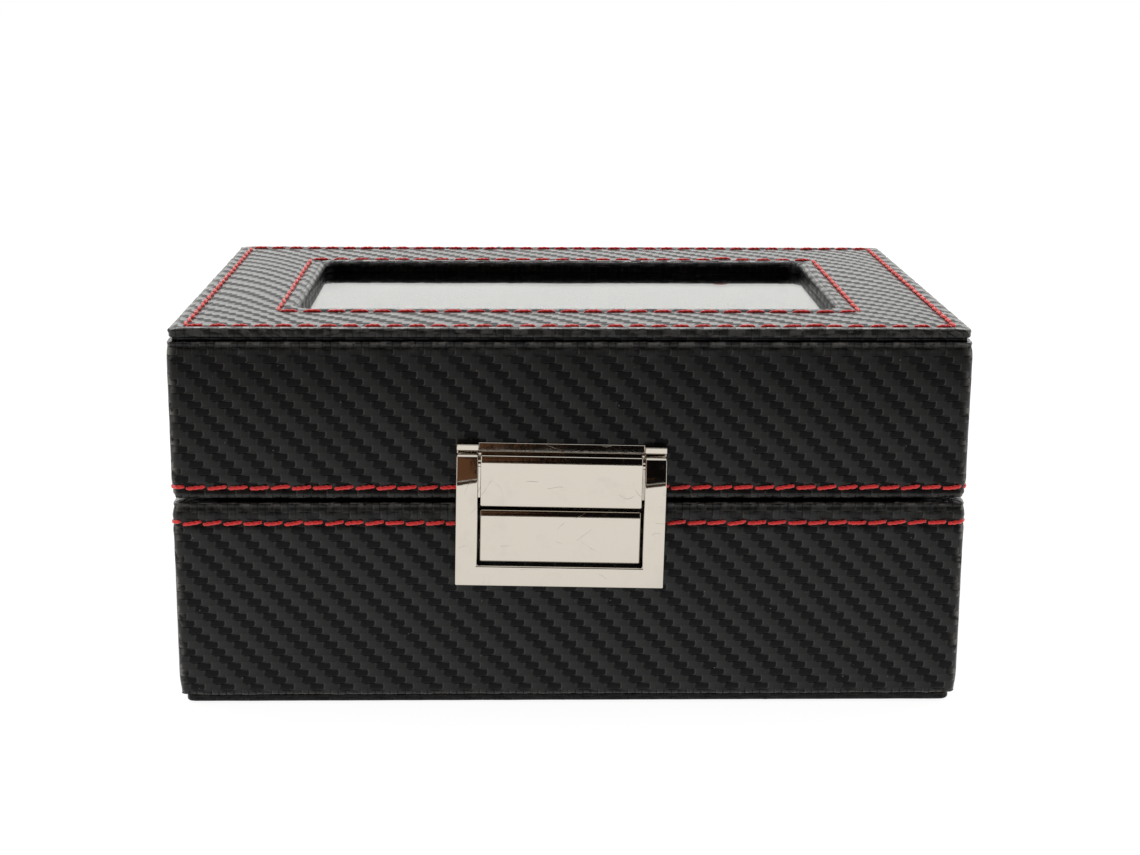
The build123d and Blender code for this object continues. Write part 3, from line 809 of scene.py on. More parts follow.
def cover_walls(name, levels, row_level, pitch, rounds, reaches, seed, holes_phase):
    """One wall covering: leather turned over both edges, with the groove and needle holes of a sewn row
    round it.
    """
    finish = bpy.context.scene.watchbox_leather
    sizes = box_sizes()
    half_x, half_y = sizes["half"]
    outline = Outline(half_x, half_y, finish.grain_step)
    profile = wall_profile(levels[0], levels[1], rounds[0], rounds[1], TURNED_IN, finish.grain_step)
    around = outline.distance(half_x, half_y, finish.corner_radius)
    rows, maps, folds, wear_and_highlights, creases = [], [], [], [], []
    low, high = levels
    for inset, height, tilt, along in profile:
        radius = max(finish.corner_radius - inset, 0.15 * MM)
        spots, normals = outline.points(half_x - inset, half_y - inset, radius)
        turn = math.radians(tilt)
        spot3 = with_height(spots, height)
        near_low = bell(along - low - rounds[0] * 0.2, reaches[0])
        near_high = bell(along - high + rounds[1] * 0.2, reaches[1])
        near_edge = max(near_low, near_high)
        corner = bell(corner_gap(spots, half_x, half_y), 3.2 * MM)
        stretched = with_height(np.column_stack((around[:-1], np.full(len(spots), along * 0.35))), 0.0)
        ladder = ripple(stretched, 0.85 * MM, seed) * 0.75 + ripple(spot3, 2.4 * MM, seed + 5) * 0.5
        push = finish.crumple * near_edge * ladder
        bead = bell(along - high + 0.30 * MM, 0.32 * MM)
        bead *= 0.8 + 0.6 * ripple(stretched, 1.5 * MM, seed + 7)
        # A fold line below the top rim's bead: the leather is pushed in along it, and the same values go
        # into a mask that paints shade there.
        crease_and_shade = bell(along - high + 1.05 * MM, 0.34 * MM)
        crease_and_shade *= 0.8 + 0.6 * ripple(stretched, 2.1 * MM, seed + 8)
        push += 0.11 * MM * bead - 0.13 * MM * crease_and_shade
        creases.append(np.clip(crease_and_shade, 0, 1))
        push += 0.05 * MM * ripple(spot3, 14 * MM, seed + 1)
        push += 0.02 * MM * ripple(spot3, 3.0 * MM, seed + 2)
        from_row = height - row_level
        if tilt == 0.0:
            seam = bell(from_row, 0.85 * MM)
            holes = stitch_dimples(around[:-1], pitch, holes_phase, 0.55 * MM)
            push -= finish.groove * seam * (0.45 + 0.75 * holes)
            rim_side = -1 if row_level < (low + high) / 2 else 1
            bulge = bell(from_row - rim_side * 1.5 * MM, 0.8 * MM)
            bulge += 0.5 * bell(from_row + rim_side * 1.7 * MM, 1.0 * MM)
            push += 0.09 * MM * bulge * (1 + 0.5 * ripple(stretched, 2.2 * MM, seed + 3))
        push -= corner_pull(corner, along, levels) * (1 if abs(tilt) < 60 else 0.3)
        flat = push * math.cos(turn)
        points = np.column_stack((spots + normals * flat[:, None], height + push * math.sin(turn)))
        rows.append(points)
        maps.append(np.column_stack((around, np.full(len(around), along))))
        folds.append(np.full(len(spots), min(1.0, near_edge * 1.2)))
        # This pale mask is partly scuffing and partly painted highlight: a painted highlight along the
        # upright corners and a thin broken painted highlight line along the top rim, with light scuffing
        # near the folded edges.
        upright = bell(corner_gap(spots, half_x, half_y), 1.0 * MM)
        rim = 0.5 * bell(along - high + 0.22 * MM, 0.24 * MM)
        showing = 1.0 if abs(tilt) < 80 else 0.2
        wear_and_highlights.append(np.clip(1.4 * upright + 0.15 * near_edge + rim, 0, 1) * showing)
    mesh = skin(name, rows, maps, masks={"fold": folds, "wear_and_highlight": wear_and_highlights, "crease_and_shade": creases})
    piece = new_object(name, mesh)
    backed(piece, finish.thickness * 0.8)
    return piece


def backed(piece, thickness):
    """Give a skin its thickness on the inner side."""
    shell = piece.modifiers.new("Thickness", "SOLIDIFY")
    shell.thickness = thickness
    shell.offset = -1.0
    return shell


class WATCHBOX_OT_base_leather(bpy.types.Operator):
    """Cover the base's walls in twill-embossed leather turned over both edges"""
    bl_idname = "watchbox.base_leather"
    bl_label = "Base Leather"

    def execute(self, context):
        sewing = context.scene.watchbox_stitching
        levels = box_sizes()["base"]
        row = levels[1] - sewing.base_drop
        piece = cover_walls("base_leather", levels, row, row_pitch(sewing.base_pitch), (0.5 * MM, 0.6 * MM),
                            (0.9 * MM, 2.6 * MM), 3, 0.0)
        place(piece, "base", "twill_leather", twill_leather(), "base_leather_wrap")
        return {"FINISHED"}


class WATCHBOX_OT_lid_leather(bpy.types.Operator):
    """Cover the lid's walls in twill-embossed leather turned over both edges"""
    bl_idname = "watchbox.lid_leather"
    bl_label = "Lid Leather"

    def execute(self, context):
        sewing = context.scene.watchbox_stitching
        levels = box_sizes()["lid"]
        row = levels[0] + sewing.lid_height
        piece = cover_walls("lid_leather", levels, row, row_pitch(sewing.lid_pitch), (1.1 * MM, 0.5 * MM),
                            (0.8 * MM, 1.9 * MM), 11, 1.6 * MM)
        place(piece, "lid", "twill_leather", twill_leather(), "lid_leather_wrap")
        return {"FINISHED"}


def row_pitch(pitch):
    """The pitch that fits a whole number of stitches round the walls."""
    finish = bpy.context.scene.watchbox_leather
    half_x, half_y = box_sizes()["half"]
    around = Outline(half_x, half_y, finish.grain_step).distance(half_x, half_y, finish.corner_radius)[-1]
    return around / round(around / pitch)


def window_sizes():
    """The window's half sizes, centre, the glass's upper face and the corners' radius, from the glass."""
    glass_low, glass_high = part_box("window_glass")
    overlap = 4.0 * MM
    half = ((glass_high.x - glass_low.x) / 2 - overlap, (glass_high.y - glass_low.y) / 2 - overlap)
    centre = (0.0, (glass_high.y + glass_low.y) / 2)
    return half, centre, glass_high.z, 3.0 * MM


def leather_stretch(spots):
    """How the embossed pattern was pulled when the top was covered: a shift for each point."""
    points = with_height(spots, 0.0)
    shift_x = ripple(points, 38 * MM, 21) * 2.6 * MM + ripple(points, 12 * MM, 23) * 0.35 * MM
    shift_y = ripple(points, 38 * MM, 22) * 2.6 * MM + ripple(points, 12 * MM, 24) * 0.35 * MM
    pulled_from = (-82.0 * MM, 57.0 * MM)
    for edge in pulled_from:
        inward = np.clip(spots[:, 0] - edge, 0.0, 25 * MM)
        shift_y += inward * inward * 22.0 - inward * 0.22
    return spots + np.column_stack((shift_x, shift_y))


def closed(values):
    """Values round a loop with the first repeated at the end."""
    return np.concatenate((values, values[:1]))


class WATCHBOX_OT_top_leather(bpy.types.Operator):
    """Cover the top panel in leather that rolls into the window and under the outer edge"""
    bl_idname = "watchbox.top_leather"
    bl_label = "Top Leather"

    def execute(self, context):
        finish = context.scene.watchbox_leather
        sewing = context.scene.watchbox_stitching
        sizes = box_sizes()
        half_x, half_y = sizes["top_half"]
        groove_floor, top = sizes["top"]
        window_half, window_centre, glass_top, window_radius = window_sizes()
        outline = Outline(half_x, half_y, finish.grain_step, corner=12)
        roll, edge = 1.2 * MM, 0.55 * MM
        side_low = groove_floor + 0.8 * MM
        rows, maps, folds, wear_and_highlights, creases = [], [], [], [], []

        def window_loop(offset):
            return outline.points(window_half[0] + offset, window_half[1] + offset,
                                  window_radius + offset, window_centre)

        def outer_loop(inset):
            radius = max(finish.corner_radius - inset, 0.2 * MM)
            return outline.points(half_x - inset, half_y - inset, radius)

        def add(spots, normals, height, push_out, push_up, sheet, fold, wear_and_highlight, crease_and_shade=0.0):
            aside = np.broadcast_to(push_out, len(spots))[:, None]
            rows.append(with_height(spots + normals * aside, height + push_up))
            maps.append(closed(sheet))
            folds.append(np.broadcast_to(fold, len(spots)))
            wear_and_highlights.append(np.broadcast_to(wear_and_highlight, len(spots)))
            creases.append(np.broadcast_to(crease_and_shade, len(spots)))

        def window_wrinkles(spots, normals):
            gap = np.hypot(np.abs(spots[:, 0] - window_centre[0]) - window_half[0],
                           np.abs(spots[:, 1] - window_centre[1]) - window_half[1])
            angle = np.arctan2(normals[:, 1], normals[:, 0])
            fan = np.sin(angle * 22.0 + 2.0 * np.sin(angle * 3.0))
            return fan * bell(gap, 4.0 * MM)

        def ladder_of(spots, along, seed):
            stretched = np.column_stack((spots, np.full(len(spots), along * 0.5)))
            return ripple(stretched, 0.95 * MM, seed) * 0.7 + ripple(stretched, 2.6 * MM, seed + 4) * 0.5

        # Painted shade: the window's inner wall is darkened, mottled by the ladder noise.
        def shade_of(spots, height):
            return np.clip(0.85 + 0.5 * ladder_of(spots, height, 39), 0.0, 1.0)

        spots, normals = window_loop(0.0)
        for index, height in enumerate(np.linspace(glass_top, top - roll, 8)):
            push = -0.10 * MM * window_wrinkles(spots, normals)
            push = push - finish.crumple * 0.6 * ladder_of(spots, height, 31)
            sheet = leather_stretch(spots) - normals * (top - height)
            add(spots, normals, height, push * min(1.0, index / 3), 0.0, sheet, 0.75, 0.0,
                shade_of(spots, height))
        for angle in np.linspace(0.0, 90.0, 10)[1:]:
            turn = math.radians(angle)
            spots, normals = window_loop(roll * (1 - math.cos(turn)))
            push = 0.16 * MM * window_wrinkles(spots, normals)
            push = push + finish.crumple * 0.9 * ladder_of(spots, angle * 0.02 * MM, 33)
            sheet = leather_stretch(spots) - normals * roll * (math.pi / 2 - turn) * 0.6
            height = top - roll * (1 - math.sin(turn))
            # Painted shade on the roll, fading out as the leather turns over onto the top.
            dark = shade_of(spots, height) * max(0.0, math.cos(turn * 1.5))
            add(spots, normals, height, -push * math.cos(turn), push * math.sin(turn), sheet,
                0.75 - 0.3 * angle / 90, 0.1, dark)

        def top_push(spots, window_offset, outer_inset):
            points = with_height(spots, top)
            push = 0.07 * MM * ripple(points, 13 * MM, 41) + 0.03 * MM * ripple(points, 3.0 * MM, 42)
            if window_offset is not None:
                push = push - finish.groove * bell(window_offset - sewing.window_margin, 0.9 * MM)
                push = push + 0.16 * MM * bell(window_offset - 2.3 * MM, 1.1 * MM)
                push = push + 0.10 * MM * window_wrinkles(spots, normals) * bell(window_offset, 2.6 * MM)
                folded = 0.5 * finish.crumple * bell(window_offset, 2.0 * MM)
                push = push + folded * ladder_of(spots, window_offset, 35)
            if outer_inset is not None:
                push = push - finish.groove * bell(outer_inset - sewing.top_margin, 0.85 * MM)
                push = push + 0.10 * MM * bell(outer_inset - 1.5 * MM, 0.7 * MM)
                folded = 0.7 * finish.crumple * bell(outer_inset, 1.3 * MM)
                push = push + folded * ladder_of(spots, outer_inset, 36)
            return push

        near_window = [0.6, 1.1, 1.6, 2.1, 2.6, 3.0, 3.4, 3.75, 4.1, 4.45, 4.8, 5.2, 5.7, 6.3, 7.0]
        for offset in near_window:
            offset = roll + (offset - 0.6) * MM * 0.9
            spots, normals = window_loop(offset)
            push = top_push(spots, offset, None)
            add(spots, normals, top, 0.0, push, leather_stretch(spots), 0.35 * bell(offset, 2.5 * MM), 0.0)
        start, normals = window_loop(roll + 6.4 * MM * 0.9)
        end, _ = outer_loop(5.2 * MM)
        count = 16
        for index in range(1, count):
            done = index / count
            spots = start + (end - start) * done
            push = top_push(spots, None, None) + 0.10 * MM * math.sin(math.pi * done)
            add(spots, normals, top, 0.0, push, leather_stretch(spots), 0.0, 0.0)
        near_edge = [5.2, 4.6, 4.1, 3.7, 3.3, 3.0, 2.7, 2.4, 2.1, 1.8, 1.5, 1.2]
        for inset in near_edge:
            spots, normals = outer_loop(inset * MM)
            push = top_push(spots, None, inset * MM)
            fold = 0.5 * bell(inset * MM, 1.4 * MM)
            add(spots, normals, top, 0.0, push, leather_stretch(spots), fold, 0.0)
        for angle in np.linspace(90.0, 0.0, 8):
            turn = math.radians(angle)
            spots, normals = outer_loop(edge * (1 - math.cos(turn)))
            corner = bell(corner_gap(spots, half_x, half_y), 2.0 * MM)
            push = finish.crumple * ladder_of(spots, angle * 0.02 * MM, 37)
            sheet = leather_stretch(spots) + normals * edge * (math.pi / 2 - turn)
            height = top - edge * (1 - math.sin(turn))
            add(spots, normals, height, push * math.cos(turn) + 0.25 * MM * corner,
                push * math.sin(turn) - 0.12 * MM * corner, sheet, 0.7, 0.3 + 0.7 * corner)
        last = edge * math.pi / 2
        for index, height in enumerate(np.linspace(top - edge, side_low + 0.25 * MM, 3)[1:]):
            spots, normals = outer_loop(0.0)
            push = finish.crumple * 0.8 * ladder_of(spots, height, 38)
            sheet = leather_stretch(spots) + normals * (last + top - edge - height)
            add(spots, normals, height, push, 0.0, sheet, 0.7, 0.2)
        for inset, height in ((0.08, side_low + 0.06 * MM), (0.3, side_low), (0.54, side_low),
                              (0.58, side_low - 0.3 * MM), (0.58, groove_floor - 0.1 * MM)):
            spots, normals = outer_loop(inset * MM)
            sheet = leather_stretch(spots) + normals * (last + top - edge - height + inset * MM)
            add(spots, normals, height, 0.0, 0.0, sheet, 0.3, 0.0)
        mesh = skin("top_leather", rows, maps, masks={"fold": folds, "wear_and_highlight": wear_and_highlights, "crease_and_shade": creases})
        mesh.flip_normals()
        piece = new_object("top_leather", mesh)
        backed(piece, 0.45 * MM)
        place(piece, "lid", "twill_leather", twill_leather(), "lid_top_cover")
        return {"FINISHED"}


class WATCHBOX_OT_bottom_panel(bpy.types.Operator):
    """Make the bottom panel: a leather-covered edge and brown paper underneath"""
    bl_idname = "watchbox.bottom_panel"
    bl_label = "Bottom Panel"

    def execute(self, context):
        finish = context.scene.watchbox_leather
        sizes = box_sizes()
        half_x, half_y = sizes["bottom_half"]
        low, high = sizes["bottom"]
        paper = 0.16 * MM
        corner = 2.0 * MM
        outline = Outline(half_x, half_y, finish.grain_step)
        around = outline.distance(half_x, half_y, corner)
        turns = [(inset * MM, high, 90.0) for inset in (4.0, 2.0, 0.8)]
        for angle in np.linspace(90.0, 0.0, 5):
            turn = math.radians(angle)
            turns.append((0.6 * MM * (1 - math.cos(turn)), high - 0.6 * MM * (1 - math.sin(turn)), angle))
        turns.append((0.0, (low + high) / 2, 0.0))
        for angle in np.linspace(0.0, -90.0, 5):
            turn = math.radians(angle)
            turns.append((0.5 * MM * (1 - math.cos(turn)),
                          low + paper + 0.5 * MM * (1 + math.sin(turn)), angle))
        turns += [(inset * MM, low + paper, -90.0) for inset in (1.0, 4.0)]
        rows, maps, folds, wear_and_highlights, creases = [], [], [], [], []
        travelled = 0.0
        previous = turns[0]
        for inset, height, tilt in turns:
            travelled += math.hypot(inset - previous[0], height - previous[1])
            previous = (inset, height, tilt)
            spots, normals = outline.points(half_x - inset, half_y - inset, max(corner - inset, 0.2 * MM))
            turn = math.radians(tilt)
            stretched = with_height(np.column_stack((around[:-1], np.full(len(spots), height * 0.5))), 0.0)
            push = 0.09 * MM * (ripple(stretched, 1.0 * MM, 51) + 0.6 * ripple(stretched, 3.0 * MM, 52)) * (
                0.0 if tilt < -60 or abs(inset) > 1.5 * MM else 1.0)
            rows.append(np.column_stack((spots + normals * (push * math.cos(turn))[:, None],
                                         height + push * math.sin(turn))))
            maps.append(np.column_stack((around, np.full(len(around), -travelled))))
            folds.append(np.full(len(spots), 0.8))
            wear_and_highlights.append(np.full(len(spots), 0.05))
            # Painted shade: the leather round the bottom edge is darkened all over, most towards its top
            # just under the walls.
            creases.append(np.full(len(spots), 0.55 + 0.4 * (height - low) / (high - low)))
        masks = {"fold": folds, "wear_and_highlight": wear_and_highlights, "crease_and_shade": creases}
        mesh = skin("bottom_edge_leather", rows, maps, masks=masks)
        mesh.flip_normals()
        piece = new_object("bottom_edge_leather", mesh)
        backed(piece, 0.4 * MM)
        place(piece, "base", "twill_leather", twill_leather(), "base_bottom_panel")

        rows, maps = [], []
        for millimetres, share_up in ((0.9, 1.0), (0.75, 0.7), (0.7, 0.4), (0.8, 0.0), (3.0, 0.0)):
            inset, height = millimetres * MM, low + paper * share_up
            spots, normals = outline.points(half_x - inset, half_y - inset, max(corner - inset, 0.2 * MM))
            wavy = 0.12 * MM * ripple(with_height(spots, 0.0), 6 * MM, 61) * (1 if millimetres < 1.5 else 0)
            rows.append(with_height(spots + normals * wavy[:, None], height))
            maps.append(closed(spots))
        mesh = skin("bottom_paper", rows[::-1], maps[::-1])
        bm = bmesh.new()
        bm.from_mesh(mesh)
        for loops in (range(len(rows[0])), range(len(rows[0]) * 4, len(rows[0]) * 5)):
            bm.verts.ensure_lookup_table()
            bm.faces.new([bm.verts[index] for index in loops])
        bmesh.ops.recalc_face_normals(bm, faces=bm.faces)
        bm.to_mesh(mesh)
        bm.free()
        smooth(mesh, math.radians(40))
        paper_piece = new_object("bottom_paper", mesh)
        place(paper_piece, "base", "board", backing_paper())
        return {"FINISHED"}


# ----------------------------------------------------------------- stitching
class SewnPath:
    """A closed line on the leather: points, tangents and surface normals by distance."""

    def __init__(self, spots, surface_normals):
        self.spots = np.vstack((spots, spots[:1]))
        self.normals = np.vstack((surface_normals, surface_normals[:1]))
        steps = np.linalg.norm(np.diff(self.spots, axis=0), axis=1)
        self.distance = np.concatenate(([0.0], np.cumsum(steps)))
        self.length = self.distance[-1]

    def at(self, where):
        """Points, tangents and normals at distances along the line."""
        where = np.mod(where, self.length)
        ahead = np.mod(where + 0.05 * MM, self.length)

        def between(values, wanted):
            return np.column_stack([np.interp(wanted, self.distance, values[:, axis]) for axis in range(3)])

        spot = between(self.spots, where)
        tangent = between(self.spots, ahead) - spot
        normal = between(self.normals, where)
        tangent /= np.linalg.norm(tangent, axis=1)[:, None]
        normal -= tangent * (normal * tangent).sum(axis=1)[:, None]
        normal /= np.linalg.norm(normal, axis=1)[:, None]
        return spot, tangent, normal


def stitch(path, start, pitch, random, sewing, lift, gap, longer=0.0, sink=0.0, lens=0.0):
    """Points and faces of one twisted stitch between two needle holes."""
    rings, around = 22, 14
    span = pitch - gap + longer
    begin = start + gap / 2 + random.normal(0, 0.05 * MM)
    share_along = np.linspace(0.0, 1.0, rings)
    where = begin + span * share_along
    centre, tangent, normal = path.at(where)
    across = np.cross(normal, tangent)
    slant = sewing.slant * (1 + random.normal(0, 0.25))
    bow = random.normal(0, 0.05 * MM)
    ends = np.abs(2 * share_along - 1)
    side = slant * (share_along - 0.5) + bow * (1 - ends ** 2)
    half = sewing.thread_width / 2
    height = lift * (1 - ends ** 4) - 0.30 * MM * ends ** 9 - sink
    taper = np.clip(1 - 0.45 * ends ** 7 - lens * ends ** 2, 0.2, 1) * (1 + random.normal(0, 0.03))
    middle = centre + across * side[:, None] + normal * height[:, None]
    twist = random.uniform(0, math.pi) + where / (1.15 * MM) * math.pi
    angles = np.linspace(0, 2 * math.pi, around, endpoint=False)
    points = []
    for ring in range(rings):
        lobes = 0.66 + 0.34 * np.abs(np.cos(angles - twist[ring])) ** 0.8
        reach = half * taper[ring] * lobes
        points.append(middle[ring] + np.outer(np.cos(angles) * reach, across[ring]) +
                      np.outer(np.sin(angles) * reach * 0.88, normal[ring]))
    faces = []
    for ring in range(rings - 1):
        for spot in range(around):
            after = (spot + 1) % around
            faces.append((ring * around + spot, ring * around + after,
                          (ring + 1) * around + after, (ring + 1) * around + spot))
    faces.append(tuple(range(around))[::-1])
    faces.append(tuple((rings - 1) * around + spot for spot in range(around)))
    return np.concatenate(points), faces


def sewn_object(name, stitches):
    """One object from many stitches' points and faces."""
    all_points, all_faces, offset = [], [], 0
    for points, faces in stitches:
        all_points.append(points)
        all_faces.extend(tuple(corner + offset for corner in face) for face in faces)
        offset += len(points)
    mesh = bpy.data.meshes.new(name)
    mesh.from_pydata(np.concatenate(all_points).tolist(), [], all_faces)
    mesh.validate()
    smooth(mesh, math.radians(70))
    return new_object(name, mesh)


def sew(name, path, pitch, seed, phase, skip):
    """Make a whole row of stitches as one object, leaving out those that metal covers."""
    lift = 0.16 * MM
    sewing = bpy.context.scene.watchbox_stitching
    random = np.random.default_rng(seed)
    stitches = []
    count = round(path.length / pitch)
    for index in range(count):
        start = phase + index * pitch
        middle, _, _ = path.at(np.array([start + pitch / 2]))
        sewn = stitch(path, start, pitch, random, sewing, lift, sewing.gap)
        if not skip(middle[0]):
            stitches.append(sewn)
    return sewn_object(name, stitches)


def wall_path(height, levels):
    """The sewn line round the walls at one height."""
    finish = bpy.context.scene.watchbox_leather
    half_x, half_y = box_sizes()["half"]
    outline = Outline(half_x, half_y, 0.5 * MM, corner=10)
    spots, normals = outline.points(half_x, half_y, finish.corner_radius)
    corner = bell(corner_gap(spots, half_x, half_y), 3.2 * MM)
    upright = bell(corner_gap(spots, half_x, half_y), 1.6 * MM)
    sunk = corner_pull(corner, height, levels) + 0.25 * MM * upright + 0.06 * MM
    spots = spots - normals * sunk[:, None]
    return SewnPath(with_height(spots, height), np.column_stack((normals, np.zeros(len(normals)))))


def side_rows(corners, pitch):
    """Needle-hole pitches for four straight sides, so that a hole falls on each corner."""
    sides = []
    for index, corner in enumerate(corners):
        end = corners[(index + 1) % 4]
        side = np.array(end) - np.array(corner)
        size = float(np.linalg.norm(side))
        sides.append((np.array(corner), side / size, size, size / round(size / pitch)))
    return sides


class StraightPath:
    """One straight side of a sewn rectangle on the flat top."""

    def __init__(self, start, direction, length, level):
        self.start = np.array((*start, level))
        self.direction = np.array((*direction, 0.0))
        self.length = length

    def at(self, where):
        """Points, tangents and normals at distances along the side."""
        spots = self.start + np.outer(where, self.direction)
        tangents = np.tile(self.direction, (len(where), 1))
        normals = np.tile((0.0, 0.0, 1.0), (len(where), 1))
        return spots, tangents, normals


def sew_rectangle(name, corners, pitch, level, seed, odd):
    """Sew four straight sides as one object; odd stitches are longer and sunk or raised."""
    sewing = bpy.context.scene.watchbox_stitching
    random = np.random.default_rng(seed)
    stitches = []
    for index, (start, direction, size, side_pitch) in enumerate(side_rows(corners, pitch)):
        path = StraightPath(start, direction, size, level)
        for number in range(round(size / side_pitch)):
            longer, sink = odd.get((index, number), (0.0, 0.0))
            stitches.append(stitch(path, number * side_pitch, side_pitch, random, sewing, 0.12 * MM,
                                   sewing.top_gap * 0.8, longer, sink, 0.35))
    return sewn_object(name, stitches)


def rectangle(half_x, half_y, centre=(0.0, 0.0)):
    """Corners from the rear left, anticlockwise seen from above."""
    cx, cy = centre
    return [(cx - half_x, cy + half_y), (cx - half_x, cy - half_y),
            (cx + half_x, cy - half_y), (cx + half_x, cy + half_y)]


def under_metal(nodes, margin):
    """A test for a wall stitch that lies under the clasp or a hinge."""
    boxes = [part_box(node) for node in nodes]

    def hidden(spot):
        for low, high in boxes:
            same_side = (spot[1] < 0) == ((low.y + high.y) < 0)
            if same_side and abs(spot[1]) > REAR and low.x + margin < spot[0] < high.x - margin:
                return True
        return hinge_hidden(spot, margin)
    return hidden


def hinge_hidden(spot, margin):
    """True under either of the two rear hinges."""
    low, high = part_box("hinge_pins")
    if spot[1] < REAR:
        return False
    return (low.x + margin < spot[0] < low.x + HINGE_LENGTH - margin or
            high.x - HINGE_LENGTH + margin < spot[0] < high.x - margin)


class WATCHBOX_OT_stitching(bpy.types.Operator):
    """Sew the red rows: one on each wall, one along the top's edge and one round the window"""
    bl_idname = "watchbox.stitching"
    bl_label = "Stitching"

    def execute(self, context):
        sewing = context.scene.watchbox_stitching
        sizes = box_sizes()
        red = thread_material()
        lid_row = wall_path(sizes["lid"][0] + sewing.lid_height, sizes["lid"])
        piece = sew("lid_stitches", lid_row, row_pitch(sewing.lid_pitch), 71, 1.6 * MM,
                    under_metal(["clasp_lid_plate"], 2.0 * MM))
        place(piece, "lid", "red_thread", red)
        base_row = wall_path(sizes["base"][1] - sewing.base_drop, sizes["base"])
        piece = sew("base_stitches", base_row, row_pitch(sewing.base_pitch), 72, 0.0,
                    under_metal(["clasp_catch"], -3.2 * MM))
        place(piece, "base", "red_thread", red)
        half_x, half_y = sizes["top_half"]
        level = sizes["top"][1] - 0.05 * MM
        margin = sewing.top_margin
        corners = rectangle(half_x - margin, half_y - margin)
        odd = {(1, 28): (0.9 * MM, -0.12 * MM), (1, 27): (0.7 * MM, 0.0)}
        piece = sew_rectangle("top_edge_stitches", corners, sewing.top_pitch, level, 73, odd)
        place(piece, "lid", "red_thread", red)
        window_half, centre, _, _ = window_sizes()
        margin = sewing.window_margin
        corners = rectangle(window_half[0] + margin, window_half[1] + margin, centre)
        odd = {(3, 4): (0.8 * MM, -0.35 * MM)}
        piece = sew_rectangle("window_stitches", corners, sewing.window_pitch, level, 74, odd)
        place(piece, "lid", "red_thread", red)
        return {"FINISHED"}


# --------------------------------------------------------------------- metal
def clasp_matrix():
    """The clasp's own frame: right, up and out, tilted a little on the front wall."""
    low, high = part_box("clasp_pin")
    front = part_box("base_leather_wrap")[0].y
    right = Vector((math.cos(CLASP_TILT), 0.0, -math.sin(CLASP_TILT)))
    up = Vector((math.sin(CLASP_TILT), 0.0, math.cos(CLASP_TILT)))
    pin_middle = (low + high) / 2
    origin = Vector((pin_middle.x, front, pin_middle.z)) - up * PIN_LEVEL
    matrix = Matrix((right, up, Vector((0.0, -1.0, 0.0)))).transposed().to_4x4()
    matrix.translation = origin
    return matrix


def cell_solid(name, counts, filled, spot, frame_matrix, bevel):
    """A closed solid from a grid of cells: only faces between a filled and an empty cell.

    counts are the cells along the three axes, filled(i, j, k) says which are solid, and
    spot(i, j, k) gives each grid corner in the local frame.
    """
    bm = bmesh.new()
    made = {}

    def corner(i, j, k):
        key = tuple(round(value, 7) for value in spot(i, j, k))
        if key not in made:
            made[key] = bm.verts.new(frame_matrix @ Vector(key))
        return made[key]

    nx, ny, nz = counts
    directions = (
        ((1, 0, 0), ((1, 0, 0), (1, 1, 0), (1, 1, 1), (1, 0, 1))),
        ((-1, 0, 0), ((0, 0, 0), (0, 0, 1), (0, 1, 1), (0, 1, 0))),
        ((0, 1, 0), ((0, 1, 0), (0, 1, 1), (1, 1, 1), (1, 1, 0))),
        ((0, -1, 0), ((0, 0, 0), (1, 0, 0), (1, 0, 1), (0, 0, 1))),
        ((0, 0, 1), ((0, 0, 1), (1, 0, 1), (1, 1, 1), (0, 1, 1))),
        ((0, 0, -1), ((0, 0, 0), (0, 1, 0), (1, 1, 0), (1, 0, 0))),
    )

    def solid(i, j, k):
        inside = 0 <= i < nx and 0 <= j < ny and 0 <= k < nz
        return inside and filled(i, j, k)

    for i in range(nx):
        for j in range(ny):
            for k in range(nz):
                if not solid(i, j, k):
                    continue
                for (di, dj, dk), quad in directions:
                    if solid(i + di, j + dj, k + dk):
                        continue
                    verts = []
                    for a, b, c in quad:
                        vert = corner(i + a, j + b, k + c)
                        if vert not in verts:
                            verts.append(vert)
                    if len(verts) > 2:
                        bm.faces.new(verts)
    bmesh.ops.recalc_face_normals(bm, faces=bm.faces)
    flat = [edge for edge in bm.edges if edge.is_manifold and edge.calc_face_angle(0.0) < math.radians(0.5)]
    bmesh.ops.dissolve_edges(bm, edges=flat, use_verts=True)
    sharp = math.radians(32.0)
    edges = [edge for edge in bm.edges if edge.is_manifold and edge.calc_face_angle(0.0) > sharp]
    bmesh.ops.bevel(bm, geom=edges, offset=bevel, segments=3, profile=0.5,
                    affect="EDGES", clamp_overlap=True)
    mesh = finished_mesh(name, bm)
    smooth(mesh, math.radians(40))
    piece = new_object(name, mesh)
    weighted = piece.modifiers.new("Even shading", "WEIGHTED_NORMAL")
    weighted.keep_sharp = True
    return piece


def leaned_back(past, steepness, ease):
    """How far a front face has leaned back at a distance past its flat part."""
    return steepness * past * past / (past + ease)


def sloped_front(levels, out, slope, fillet):
    """Levels and front depths of a block that leans back below its rounded top edge."""
    steps = 6
    low, high = levels
    start = high - fillet - slope
    ups, fronts = [low, start], [out, out]
    for index in range(1, steps + 1):
        past = slope * index / steps
        ups.append(start + past)
        fronts.append(out - leaned_back(past, 0.30, 0.5 * MM))
    shoulder = fronts[-1]
    for index in range(1, steps + 1):
        turn = math.radians(90.0 * index / steps)
        ups.append(high - fillet + fillet * math.sin(turn))
        fronts.append(shoulder - fillet + fillet * math.cos(turn))
    return ups, fronts


